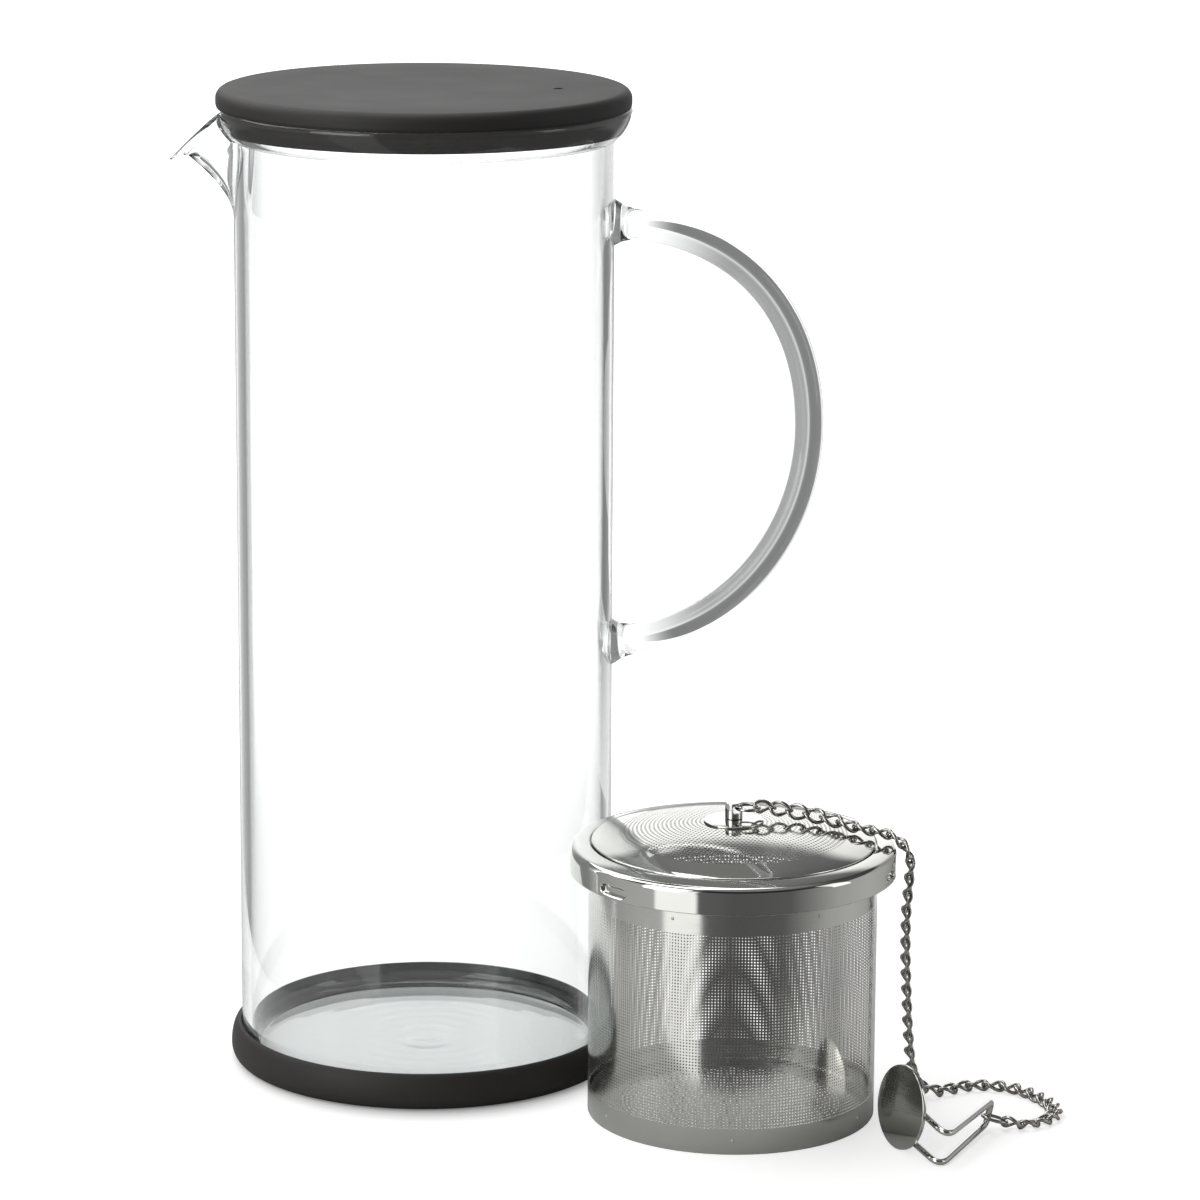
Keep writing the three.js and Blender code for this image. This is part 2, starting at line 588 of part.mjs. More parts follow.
// A turned stud, riveted under the screen and drilled across for the jump ring
function lidStud() {
  const footTop = domeAt(STUD_FOOT_RADIUS) - SHEET - FIT_GAP;
  const edge = FIT_GAP;
  const profile = new THREE.Path();
  profile.moveTo(0, footTop - STUD_FOOT_THICKNESS);
  profile.lineTo(STUD_FOOT_RADIUS, footTop - STUD_FOOT_THICKNESS);
  profile.lineTo(STUD_FOOT_RADIUS, footTop);
  profile.lineTo(SHANK_RADIUS, footTop);
  profile.lineTo(SHANK_RADIUS, STUD_BOTTOM);
  profile.lineTo(STUD_RADIUS, STUD_BOTTOM);
  profile.lineTo(STUD_RADIUS, STUD_TOP - edge);
  profile.lineTo(STUD_RADIUS - edge, STUD_TOP);
  profile.lineTo(0, STUD_TOP);
  const hole = new THREE.CylinderGeometry(STUD_HOLE_RADIUS, STUD_HOLE_RADIUS, STUD_RADIUS * 4, 16);
  hole.translate(STUD_HOLE_OFFSET, 0, STUD_HOLE_LEVEL);
  const turned = toSolid(revolve(profile, 1, SMALL_TURN_STEPS));
  return steel('lid_stud', toGeometry(turned.subtract(toSolid(hole))));
}

// One wire link, a long ring twisted about its own length so that the chain lies flat
class LinkCurve extends THREE.Curve {
  constructor(length, width, twist) {
    super();
    this.length = length;
    this.width = width;
    this.twist = twist;
  }

  getPoint(t) {
    const angle = t * 2 * Math.PI;
    const along = Math.cos(angle);
    const turn = (this.twist / 2) * along;
    const across = (this.width / 2) * Math.sin(angle);
    return new THREE.Vector3((this.length / 2) * along, across * Math.cos(turn), across * Math.sin(turn));
  }
}

function chainCurve() {
  const climb = STUD_HOLE_LEVEL - SHOULDER_TOP;
  const overLid = ROUTE_OVER_LID.map(([out, side, up]) => (
    [out * SKIRT_RADIUS, side, SHOULDER_TOP + up * climb]
  ));
  const downSide = ROUTE_DOWN_SIDE.map(([out, side, up]) => [SKIRT_RADIUS + out, side, up * SHOULDER_TOP]);
  const onTable = ROUTE_ON_TABLE.map(([out, side, up]) => [SKIRT_RADIUS + out, side, up]);
  const points = [...overLid, ...downSide, ...onTable].map((point) => new THREE.Vector3(...point));
  const curve = new THREE.CatmullRomCurve3(points, false, 'catmullrom', 0.5);
  curve.arcLengthDivisions = 2000;
  return curve;
}

// The chain lies flat on what carries it, unless it is turned about its own length
function chainFrame(curve, distance, turn) {
  const share = distance / curve.getLength();
  const tangent = curve.getTangentAt(share);
  const out = new THREE.Vector3(-tangent.z, 0, 1);
  out.addScaledVector(tangent, -out.dot(tangent)).normalize();
  out.applyAxisAngle(tangent, turn);
  const across = out.clone().cross(tangent);
  const frame = new THREE.Matrix4().makeBasis(tangent, across, out);
  return frame.setPosition(curve.getPointAt(share));
}

// Links stand on edge where the jump ring holds them, and turn again to enter the end ring
function linkTurn(distance, chainEnd) {
  const atStart = 1 - THREE.MathUtils.smoothstep(distance, 0, STANDING_RUN);
  const atEnd = 1 - THREE.MathUtils.smoothstep(chainEnd - distance, 0, END_TURN_RUN);
  return THREE.MathUtils.degToRad(atStart * STANDING_TURN + atEnd * END_TURN);
}

function place(mesh, frame) {
  frame.decompose(mesh.position, mesh.quaternion, mesh.scale);
  return mesh;
}

function chain() {
  const group = new THREE.Group();
  const curve = chainCurve();
  const wire = LINK_WIRE / 2;
  const hold = LINK_WIRE + LINK_PLAY;
  const firstEnd = 2 * JUMP_RING_RADIUS - hold;
  const lastEnd = curve.getLength() - (END_RING_LENGTH - LINK_WIRE) + hold;
  const pitch = (lastEnd - firstEnd - hold) / LINK_COUNT;
  const length = pitch + hold;

  const jump = new THREE.TorusGeometry(JUMP_RING_RADIUS, wire, 5, 16);
  const start = curve.getPointAt(0);
  const heading = curve.getPointAt(firstEnd / curve.getLength()).sub(start);
  const jumpRing = steel('jump_ring', closeUp(jump));
  jumpRing.position.copy(start).add(heading.setZ(0).setLength(JUMP_RING_RADIUS));
  group.add(jumpRing);

  const link = new LinkCurve(length, LINK_WIDTH - LINK_WIRE, THREE.MathUtils.degToRad(LINK_TWIST));
  for (let i = 0; i < LINK_COUNT; i += 1) {
    const number = String(i + 1).padStart(2, '0');
    const mesh = steel(`chain_link_${number}`, rod(link, 10, 4, true, () => wire));
    const distance = firstEnd + length / 2 + i * pitch;
    group.add(place(mesh, chainFrame(curve, distance, linkTurn(distance, lastEnd))));
  }

  const endLength = END_RING_LENGTH - LINK_WIRE;
  const endLink = new LinkCurve(endLength, END_RING_WIDTH - LINK_WIRE, 0);
  const endRing = steel('chain_end_ring', rod(endLink, 14, 5, true, () => wire));
  group.add(place(endRing, chainFrame(curve, curve.getLength() - endLength / 2, 0)));
  return group;
}

// The hook: one wire bent to a hairpin and folded to a V, with a bare disc fixed across its two ends
function hook() {
  const group = new THREE.Group();
  const angle = THREE.MathUtils.degToRad(HOOK_ANGLE);
  const bend = new THREE.Vector3(0, 0, 0);
  const bight = new THREE.Vector3(HOOK_LONG_LEG, 0, 0);
  const end = new THREE.Vector3(HOOK_SHORT_LEG * Math.cos(angle), HOOK_SHORT_LEG * Math.sin(angle), 0);
  const leg = (side) => [
    end.clone().setZ((side * HOOK_SPREAD) / 2),
    bend.clone().setZ(side * (HOOK_SPREAD + HOOK_BIGHT) / 4 * HOOK_WAIST),
    bight.clone().setZ((side * HOOK_BIGHT) / 2),
  ];
  const wire = easedPath([...leg(-1), ...leg(1).reverse()],
    [HOOK_BEND_RUN, HOOK_CORNER_RUN, HOOK_CORNER_RUN, HOOK_BEND_RUN]);
  group.add(steel('hook_wire', rod(wire, 52, 6, false, () => HOOK_WIRE / 2)));

  const tilt = THREE.MathUtils.degToRad(HOOK_TILT);
  const middle = hookLevel();
  const disc = new THREE.CylinderGeometry(DISC_RADIUS, DISC_RADIUS, DISC_THICKNESS, 32);
  const back = (HOOK_WIRE + DISC_THICKNESS) / 2 + FIT_GAP;
  const face = new THREE.Vector3(-Math.sin(angle), Math.cos(angle), 0);
  const lean = face.y * Math.sin(tilt);
  const level = DISC_RADIUS * Math.sqrt(1 - lean ** 2) + (DISC_THICKNESS / 2) * lean + TABLE_GAP;
  const plate = steel('hook_disc', closeUp(disc));
  plate.position.copy(end).setLength(DISC_SET).addScaledVector(face, back);
  plate.position.z = (level - middle - plate.position.y * Math.sin(tilt)) / Math.cos(tilt);
  plate.rotation.z = angle;
  group.add(plate);
  group.rotation.set(tilt, 0, THREE.MathUtils.degToRad(HOOK_HEADING), 'ZYX');
  return group;
}

// The height of the hook's middle when its lower leg lies on the table
function hookLevel() {
  const halfWidth = (HOOK_SPREAD + HOOK_BIGHT) / 4 * HOOK_WAIST;
  return halfWidth * Math.cos(THREE.MathUtils.degToRad(HOOK_TILT)) + HOOK_WIRE / 2 + TABLE_GAP;
}

// Set the hook so that its bight stands inside the chain's end ring
function seatHook(group, curve) {
  const inset = (LINK_WIRE + HOOK_WIRE) / 2 + LINK_PLAY;
  const seat = curve.getPointAt(1 - inset / curve.getLength());
  const bight = new THREE.Vector3(HOOK_LONG_LEG, 0, 0).applyEuler(group.rotation);
  group.position.set(seat.x - bight.x, seat.y - bight.y, hookLevel());
  return group;
}

const infuser = new THREE.Group();
const bearing = THREE.MathUtils.degToRad(INFUSER_BEARING);
infuser.position.set(Math.cos(bearing), Math.sin(bearing), 0);
infuser.position.setLength(GLASS_RADIUS + INFUSER_GAP + SKIRT_RADIUS);
infuser.add(basketWall(), basketFloor(), basketRim());
infuser.add(infuserLidRing(), infuserLidScreen(), lidWasher(), lidStud());
const cord = new THREE.Group();
cord.add(chain(), seatHook(hook(), chainCurve()));

const assembly = new THREE.Group();
assembly.add(glassBody(), handle(), baseRing(), pitcherLid(), infuser);

// The origin is under the middle of the box round the jug and the infuser, without chain and hook
assembly.updateMatrixWorld(true);
const middle = new THREE.Box3().setFromObject(assembly, true).getCenter(new THREE.Vector3());
assembly.position.set(-middle.x, -middle.y, 0);
infuser.add(cord);

const part = new THREE.Group();
part.add(assembly);

export default part;
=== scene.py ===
import math
from functools import partial

import bmesh
import bpy
from mathutils import Matrix, Quaternion, Vector
from mathutils.geometry import interpolate_bezier


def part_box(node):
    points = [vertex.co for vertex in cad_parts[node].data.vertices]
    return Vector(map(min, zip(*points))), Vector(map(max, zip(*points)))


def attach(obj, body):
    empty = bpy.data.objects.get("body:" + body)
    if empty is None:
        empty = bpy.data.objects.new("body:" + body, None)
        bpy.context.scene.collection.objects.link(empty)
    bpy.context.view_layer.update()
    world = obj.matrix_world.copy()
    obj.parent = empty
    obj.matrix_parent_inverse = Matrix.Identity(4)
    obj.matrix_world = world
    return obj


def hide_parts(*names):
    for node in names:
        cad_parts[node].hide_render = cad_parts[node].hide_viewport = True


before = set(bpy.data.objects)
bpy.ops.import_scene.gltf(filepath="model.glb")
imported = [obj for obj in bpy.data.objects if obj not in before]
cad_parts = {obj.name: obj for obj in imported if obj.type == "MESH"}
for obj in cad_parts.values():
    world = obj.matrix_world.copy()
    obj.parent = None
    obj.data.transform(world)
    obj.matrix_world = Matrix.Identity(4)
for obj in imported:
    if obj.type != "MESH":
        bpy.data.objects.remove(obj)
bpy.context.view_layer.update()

# The studio: a small sheet of white acrylic in front of a narrow white backdrop. The room is grey at the
# sides and dark in front and above, so that clear glass has edges and steel has darks, and a tall white
# panel stands at the front left. The camera stands where the photograph's did.
MM = 0.001
CAMERA_PLACE = Vector((44.75, -1256.3, 412.4))
CAMERA_DOWN = 13.07
CAMERA_ROLL = 0.323
CAMERA_LENS = 151.05
SENSOR_WIDTH = 36
LAMP_AIM = Vector((0, 0, 0.1))


def linear(hex_colour):
    channels = [int(hex_colour[i:i + 2], 16) / 255 for i in (1, 3, 5)]
    return [c / 12.92 if c <= 0.04045 else ((c + 0.055) / 1.055) ** 2.4 for c in channels] + [1]


# Adds a node to a tree. Its inputs are listed in order or by name, and each is a value, a socket to link, or
# a node whose first output is linked.
def add_node(tree, kind, inputs=(), **settings):
    node = tree.nodes.new(kind)
    for name, value in settings.items():
        setattr(node, name, value)
    for key, value in inputs.items() if isinstance(inputs, dict) else enumerate(inputs):
        if isinstance(value, bpy.types.Node):
            value = value.outputs[0]
        if isinstance(value, bpy.types.NodeSocket):
            tree.links.new(value, node.inputs[key])
        else:
            node.inputs[key].default_value = value
    return node


# Empties the node tree of a world or a material, and gives the function that adds a node to it
def clear_nodes(owner):
    owner.use_nodes = True
    owner.node_tree.nodes.clear()
    return partial(add_node, owner.node_tree)


def new_object(name, data):
    made = bpy.data.objects.new(name, data)
    bpy.context.collection.objects.link(made)
    return made


def axis_of(node_name):
    low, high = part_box(node_name)
    return Vector(((low[0] + high[0]) / 2, (low[1] + high[1]) / 2, 0))


jug_axis = axis_of("base_ring")

lens = bpy.data.cameras.new("camera")
lens.sensor_width = SENSOR_WIDTH
lens.lens = CAMERA_LENS
lens.clip_end = 60
camera = new_object("camera", lens)
camera.matrix_world = (
    Matrix.Translation(jug_axis + CAMERA_PLACE * MM)
    @ Matrix.Rotation(math.radians(90 - CAMERA_DOWN), 4, "X")
    @ Matrix.Rotation(math.radians(CAMERA_ROLL), 4, "Z")
)
scene = bpy.context.scene
scene.camera = camera
scene.view_settings.view_transform = "Standard"

room = bpy.data.worlds.new("studio_room")
scene.world = room
add = clear_nodes(room)
ways = add("ShaderNodeTexCoord").outputs["Generated"]
way_up = add("ShaderNodeSeparateXYZ", [ways]).outputs["Z"]
bearing = add("ShaderNodeTexGradient", {"Vector": ways}, gradient_type="RADIAL").outputs["Fac"]


def ring_of_levels(levels):
    ramp = add("ShaderNodeValToRGB", [bearing])
    for spot, level in levels[1:-1]:
        ramp.color_ramp.elements.new(spot).color = (level, level, level, 1)
    for i in (0, -1):
        level = levels[i][1]
        ramp.color_ramp.elements[i].color = (level, level, level, 1)
    return ramp


# Round the room from the left by the front, the right and the backdrop: share of the turn and brightness
walls = ring_of_levels([
    (0.0, 0.5), (0.086, 0.58), (0.092, 1.45), (0.172, 1.45), (0.18, 0.16), (0.25, 0.12), (0.36, 0.14),
    (0.41, 0.3), (0.47, 0.5), (0.55, 0.58), (0.61, 0.5), (0.66, 0.34), (0.683, 0.65), (0.7, 0.95),
    (0.711, 1.1), (0.733, 1.6), (0.767, 1.6), (0.789, 1.1), (0.8, 0.95), (0.817, 0.65), (0.84, 0.38),
    (0.89, 0.34), (1.0, 0.5),
])
# Light that is turned back once inside the glass meets a room that is white in front and grey behind
through_glass = ring_of_levels([
    (0.0, 0.75), (0.05, 1.0), (0.45, 1.0), (0.5, 0.75), (0.57, 0.28), (0.93, 0.28), (1.0, 0.75)])
# The walls end at about 30 degrees up, and 20 degrees down, where the studio's dark floor begins
top_edge = add("ShaderNodeMapRange", [way_up, 0.44, 0.54, 1.0, 0.16], interpolation_type="SMOOTHSTEP")
foot_edge = add("ShaderNodeMapRange", [way_up, -0.42, -0.32, 0.35, 1.0], interpolation_type="SMOOTHSTEP")
lit = add("ShaderNodeMath", [walls, top_edge], operation="MULTIPLY")
wall = add("ShaderNodeMath", [lit, foot_edge], operation="MULTIPLY")
above = add("ShaderNodeMapRange", [way_up, 0.7, 0.95, 0.0, 0.3], interpolation_type="SMOOTHSTEP")
brighter = add("ShaderNodeMath", [wall, above], operation="MAXIMUM")
# Light that goes straight through the glass meets white all round, so that the jug is clear from every side
path = add("ShaderNodeLightPath").outputs
straight = add("ShaderNodeMath", [path["Glossy Depth"], 0.5], operation="LESS_THAN")
clear = add("ShaderNodeMath", [straight, through_glass], operation="MAXIMUM")
let_through = add("ShaderNodeMath", [path["Is Transmission Ray"], clear], operation="MULTIPLY")
in_glass = add("ShaderNodeMath", [brighter, let_through], operation="MAXIMUM")
seen = add("ShaderNodeMath", [in_glass, path["Is Camera Ray"]], operation="MAXIMUM")
glow = add("ShaderNodeBackground", {"Color": seen, "Strength": 1.0})
add("ShaderNodeOutputWorld", {"Surface": glow})

# Place, width and height in metres, and power in watts
lamps = {
    "lamp_left": ((-0.62, -0.56, 0.42), 0.48, 0.8, 3.2),
    "lamp_top": ((-0.45, 0.35, 1.15), 1.3, 1.3, 14.0),
    "lamp_right": ((0.85, -0.2, 0.4), 0.25, 0.7, 0.7),
}
for name, (place, width, height, power) in lamps.items():
    lamp = bpy.data.lights.new(name, "AREA")
    lamp.shape = "RECTANGLE"
    lamp.size = width
    lamp.size_y = height
    lamp.energy = power
    lamp_object = new_object(name, lamp)
    lamp_object.location = place
    lamp_object.rotation_euler = (LAMP_AIM - Vector(place)).to_track_quat("-Z", "Y").to_euler()

# White acrylic sheet, cast and matt on top. Where the camera looks at it, it is lifted to the white of an
# overexposed sheet, less so close to the pitcher, so that the shadows there are kept. Through the glass it
# is lifted too, but not under the jug's floor. In a disc set a little to the front of the jug the lift is
# cut
# down further. This is a painted shadow: its shape follows the disc, not the lamps.
PAINTED_SHADOW_SHIFT = Vector((0, -8, 0))
SHADE_START = 0.04
SHADE_END = 0.054
NEAR_LIFT = 0.61
PAINTED_SHADOW_SHARE = 0.25
FAR_START = 0.16
FAR_END = 0.5
FAR_LIFT = 0.6


def new_material(name):
    material = bpy.data.materials.new(name)
    return material, clear_nodes(material)


table_white, add = new_material("matt_white_acrylic")
place = add("ShaderNodeTexCoord").outputs["Object"]
away = add("ShaderNodeVectorMath", [place, jug_axis], operation="DISTANCE").outputs["Value"]
clear_of_jug = add("ShaderNodeMapRange", [
    away, SHADE_START, SHADE_END, 0.0, NEAR_LIFT], interpolation_type="SMOOTHSTEP")
# Painted shadow: in a disc shifted to the front of the jug, the lift is cut to a quarter
to_painted_shadow_middle = add("ShaderNodeVectorMath", [
    place, jug_axis + PAINTED_SHADOW_SHIFT * MM], operation="DISTANCE").outputs["Value"]
out_of_painted_shadow = add("ShaderNodeMapRange", [
    to_painted_shadow_middle, SHADE_START, SHADE_END, PAINTED_SHADOW_SHARE, 1.0], interpolation_type="SMOOTHSTEP")
beside = add("ShaderNodeMath", [clear_of_jug, out_of_painted_shadow], operation="MULTIPLY")
further = add("ShaderNodeMapRange", [
    away, FAR_START, FAR_END, 0.0, FAR_LIFT], interpolation_type="SMOOTHSTEP")
far = add("ShaderNodeMath", [beside, further], operation="ADD")
path = add("ShaderNodeLightPath").outputs
shown = add("ShaderNodeMath", [path["Is Camera Ray"], path["Is Transmission Ray"]], operation="MAXIMUM")
lift = add("ShaderNodeMath", [shown, far], operation="MULTIPLY")
matt = add("ShaderNodeBsdfDiffuse", {"Color": linear("#cacac9")})
white = add("ShaderNodeEmission", {"Strength": lift})
both = add("ShaderNodeAddShader", [matt, white])
add("ShaderNodeOutputMaterial", {"Surface": both})

table_mesh = bpy.data.meshes.new("table")
near_side = [(-0.115, -0.13), (0.2, -0.13), (0.2, 0.06)]
far_side = [(0.125, 0.2), (0.5, 1.4), (-0.5, 1.4), (-0.11, 0.2), (-0.115, 0.06)]
table_mesh.from_pydata([jug_axis + Vector((x, y, 0)) for x, y in near_side + far_side], [], [range(8)])
table_mesh.materials.append(table_white)
table = new_object("table", table_mesh)

# The jug: a borosilicate cylinder, blown in a turning mould, with its collar flared and its spout pulled
# while soft. The handle is a bent glass rod, fused on hot so that jug and handle are one piece of glass.
GLASS_RADIUS = 47.9
GLASS_WALL = 2.5
GLASS_INNER = GLASS_RADIUS - GLASS_WALL
RIM_ROUND = GLASS_WALL / 2
JUG_BOTTOM = 1
JUG_FLOOR = 4.6
FOOT_CORNER = 5
FOOT_MIDDLE = (GLASS_RADIUS - FOOT_CORNER, JUG_BOTTOM + FOOT_CORNER)
INNER_CORNER = FOOT_CORNER - GLASS_WALL + 1
FLOOR_EDGE = GLASS_INNER - INNER_CORNER - 0.4
WALL_LOW = 12
RIM_HEIGHT = 248
COLLAR_BASE = 239.6
INNER_COLLAR_BASE = 240.6
COLLAR_FLARE = 4.5
COLLAR_BULGE = 0.7
RIM_MIDDLE = (GLASS_RADIUS + COLLAR_FLARE - RIM_ROUND, RIM_HEIGHT - RIM_ROUND)
BOSS_RISE = 0.14
BOSS_SIDE = (4.5, 8)
MOULD_RING_RISE = 0.008
MOULD_RING_PITCH = 5.2
MOULD_RINGS_BEGIN = (6, 12)
MOULD_RINGS_END = (34, 41)
SPOUT_REACH = 14.3
SPOUT_DROP = 11
SPOUT_HEIGHT = 29
SPOUT_BASE = RIM_HEIGHT - SPOUT_HEIGHT
SPOUT_WIDTH = 26
SPOUT_ROOT_SHARE = 0.4
SPOUT_TIP_ROUND = 2.6
SPOUT_HOLLOW = 1.4
SPOUT_BEND = 1.75
SPOUT_THICKENING = 0.3
SPOUT_LIP_CURL = 3.2
LIP_START = 0.86
LIP_OUT = 0.6
INNER_LIP_CURL = 0.4
JUG_COLUMNS = 300
SPOUT_CROWDING = 0.7
HANDLE_ROD = 7.5
HANDLE_TOP = 218.4
HANDLE_MIDDLE = 166.5
HANDLE_BOTTOM = 110
HANDLE_REACH = 49.7
HANDLE_OUT = GLASS_RADIUS + HANDLE_REACH
HANDLE_STEPS = 90
TOP_RUN = 0.7
TOP_FALL = 0.58
BOTTOM_FALL = 0.53
BOTTOM_RUN = 0.64
WELD_DEPTH = 1.1
WELD_SWELL = 2.4
WELD_LENGTH = 2.4


def smooth_step(value, low, high):
    share = min(1, max(0, (value - low) / (high - low)))
    return share * share * (3 - 2 * share)


def flare_at(height, base):
    share = min(1, max(0, (height - base) / (RIM_HEIGHT - base)))
    return COLLAR_FLARE * math.sin(share * math.pi / 2) ** COLLAR_BULGE


def arc(middle, radius, start, stop, steps):
    angles = [start + (stop - start) * i / steps for i in range(steps + 1)]
    return [(middle[0] + radius * math.cos(a), middle[1] + radius * math.sin(a)) for a in angles]


def spread(low, high, count):
    return [low + (high - low) * i / count for i in range(count)]


def full_turn(steps):
    return [2 * math.pi * i / steps for i in range(steps)]


# The pressed floor has a low boss in its middle and faint rings left by the mould
def floor_level(radius):
    boss = BOSS_RISE * (1 - smooth_step(radius, *BOSS_SIDE))
    ringed = smooth_step(radius, *MOULD_RINGS_BEGIN) * (1 - smooth_step(radius, *MOULD_RINGS_END))
    return JUG_FLOOR + boss + MOULD_RING_RISE * math.cos(radius * 2 * math.pi / MOULD_RING_PITCH) * ringed


# The jug's section from the middle of its underside, over the rim and down to the middle of its floor, and
# the number of the last row that counts as outside, on top of the rim
def jug_rows():
    quarter = math.pi / 2
    rows = [(r, JUG_BOTTOM) for r in spread(0, FOOT_MIDDLE[0], 6)]
    rows += arc(FOOT_MIDDLE, FOOT_CORNER, -quarter, 0, 10)
    rows += [(GLASS_RADIUS, z) for z in spread(WALL_LOW, SPOUT_BASE, 12)]
    heights = spread(SPOUT_BASE, COLLAR_BASE, 16) + spread(COLLAR_BASE, RIM_MIDDLE[1], 14)
    rows += [(GLASS_RADIUS + flare_at(z, COLLAR_BASE), z) for z in heights]
    rows += arc(RIM_MIDDLE, RIM_ROUND, 0, math.pi, 10)
    outside = len(rows) - 5
    heights = spread(SPOUT_BASE, INNER_COLLAR_BASE, 16) + spread(INNER_COLLAR_BASE, RIM_MIDDLE[1], 14)
    rows += [(GLASS_INNER + flare_at(z, INNER_COLLAR_BASE), z) for z in reversed(heights)]
    rows += [(GLASS_INNER, z) for z in reversed(spread(WALL_LOW, SPOUT_BASE, 12))]
    rows += arc((GLASS_INNER - INNER_CORNER, JUG_FLOOR + INNER_CORNER), INNER_CORNER, 0, -quarter, 10)
    rows += [(r, floor_level(r)) for r in reversed(spread(0, FLOOR_EDGE, 64))]
    return rows, outside


def jug_point(radius, height, angle, outside):
    rise = min(1, max(0, (height - SPOUT_BASE) / SPOUT_HEIGHT))
    wide = SPOUT_ROOT_SHARE + (1 - SPOUT_ROOT_SHARE) * rise
    half = math.asin(SPOUT_WIDTH / 2 / (GLASS_RADIUS + COLLAR_FLARE)) * wide
    tip = SPOUT_TIP_ROUND / (GLASS_RADIUS + SPOUT_REACH)
    pull = max(0, 1 - (math.hypot(angle, tip) - tip) / half) ** SPOUT_HOLLOW
    straight = GLASS_RADIUS if outside else GLASS_INNER - SPOUT_THICKENING * GLASS_WALL * rise
    drawn = straight + SPOUT_REACH * rise ** SPOUT_BEND if rise > 0 else radius
    curl = SPOUT_LIP_CURL * pull * smooth_step(rise, LIP_START, 1)
    out = radius + (drawn - radius) * pull + LIP_OUT * curl
    level = height - SPOUT_DROP * rise * pull - (curl if outside else INNER_LIP_CURL * curl)
    return Vector((-out * math.cos(angle), -out * math.sin(angle), level))


def finish_mesh(mesh, sharp_angle):
    shape = bmesh.new()
    shape.from_mesh(mesh)
    bmesh.ops.remove_doubles(shape, verts=shape.verts, dist=1e-6)
    bmesh.ops.recalc_face_normals(shape, faces=shape.faces)
    shape.to_mesh(mesh)
    shape.free()
    mesh.shade_smooth()
    mesh.set_sharp_from_angle(angle=math.radians(sharp_angle))


# Skin a run of rings of points, given in millimetres from the origin point, as one mesh object
def skin(name, rings, origin, loop=False, cap=False, sharp_angle=35):
    around = len(rings[0])
    points = [origin + Vector(point) * MM for ring in rings for point in ring]
    faces = []
    for row in range(len(rings) if loop else len(rings) - 1):
        here = row * around
        there = (row + 1) % len(rings) * around
        for i in range(around):
            after = (i + 1) % around
            faces.append((here + i, here + after, there + after, there + i))
    if cap:
        faces.append(tuple(reversed(range(around))))
        faces.append(tuple(range(len(points) - around, len(points))))
    mesh = bpy.data.meshes.new(name)
    mesh.from_pydata(points, [], faces)
    finish_mesh(mesh, sharp_angle)
    return new_object(name, mesh)


# A round rod through points, each with its own radius, whose sides start at a given sideways direction
def rod(name, points, radii, side, origin, sides=24, loop=False):
    rings = []
    count = len(points)
    for i, point in enumerate(points):
        before = points[i - 1] if loop or i else point
        after = points[(i + 1) % count] if loop or i < count - 1 else point
        along = (after - before).normalized()
        side = (side - along * side.dot(along)).normalized()
        up = along.cross(side)
        rings.append([point + (side * math.cos(a) + up * math.sin(a)) * radii[i] for a in full_turn(sides)])
    return skin(name, rings, origin, loop=loop, cap=not loop)


# Keep what a piece's modifiers make as its own plain mesh
def keep_result(piece):
    ready = piece.evaluated_get(bpy.context.evaluated_depsgraph_get())
    mesh = bpy.data.meshes.new_from_object(ready)
    piece.modifiers.clear()
    piece.data = mesh


# Join a second solid to a piece, or cut it away
def combine(piece, other, operation, sharp_angle=35):
    joint = piece.modifiers.new("combine", "BOOLEAN")
    joint.object = other
    joint.operation = operation
    joint.solver = "EXACT"
    keep_result(piece)
    bpy.data.objects.remove(other)
    finish_mesh(piece.data, sharp_angle)


rows, last_outside = jug_rows()
turns = [turn - math.pi for turn in full_turn(JUG_COLUMNS)]
crowded = [turn - SPOUT_CROWDING * math.sin(turn) for turn in turns]
rings = [[jug_point(r, z, angle, i <= last_outside) for angle in crowded] for i, (r, z) in enumerate(rows)]
jug = skin("glass_jug", rings, jug_axis, sharp_angle=60)

root = GLASS_RADIUS - HANDLE_ROD / 2
upper = HANDLE_TOP - HANDLE_MIDDLE
lower = HANDLE_MIDDLE - HANDLE_BOTTOM
first_half = interpolate_bezier(
    (root, 0, HANDLE_TOP), (root + TOP_RUN * HANDLE_REACH, 0, HANDLE_TOP),
    (HANDLE_OUT, 0, HANDLE_MIDDLE + TOP_FALL * upper), (HANDLE_OUT, 0, HANDLE_MIDDLE), HANDLE_STEPS)
second_half = interpolate_bezier(
    (HANDLE_OUT, 0, HANDLE_MIDDLE), (HANDLE_OUT, 0, HANDLE_MIDDLE - BOTTOM_FALL * lower),
    (root + BOTTOM_RUN * HANDLE_REACH, 0, HANDLE_BOTTOM), (root, 0, HANDLE_BOTTOM), HANDLE_STEPS)
bow = [Vector(p) for p in first_half + second_half[1:] if p[0] > GLASS_RADIUS - WELD_DEPTH]
swell = [WELD_SWELL * math.exp(-max(0, p.x - GLASS_RADIUS) / WELD_LENGTH) for p in bow]
handle = rod("handle_rod", bow, [HANDLE_ROD / 2 + s for s in swell], Vector((0, 1, 0)), jug_axis, sides=32)
combine(jug, handle, "UNION", sharp_angle=50)

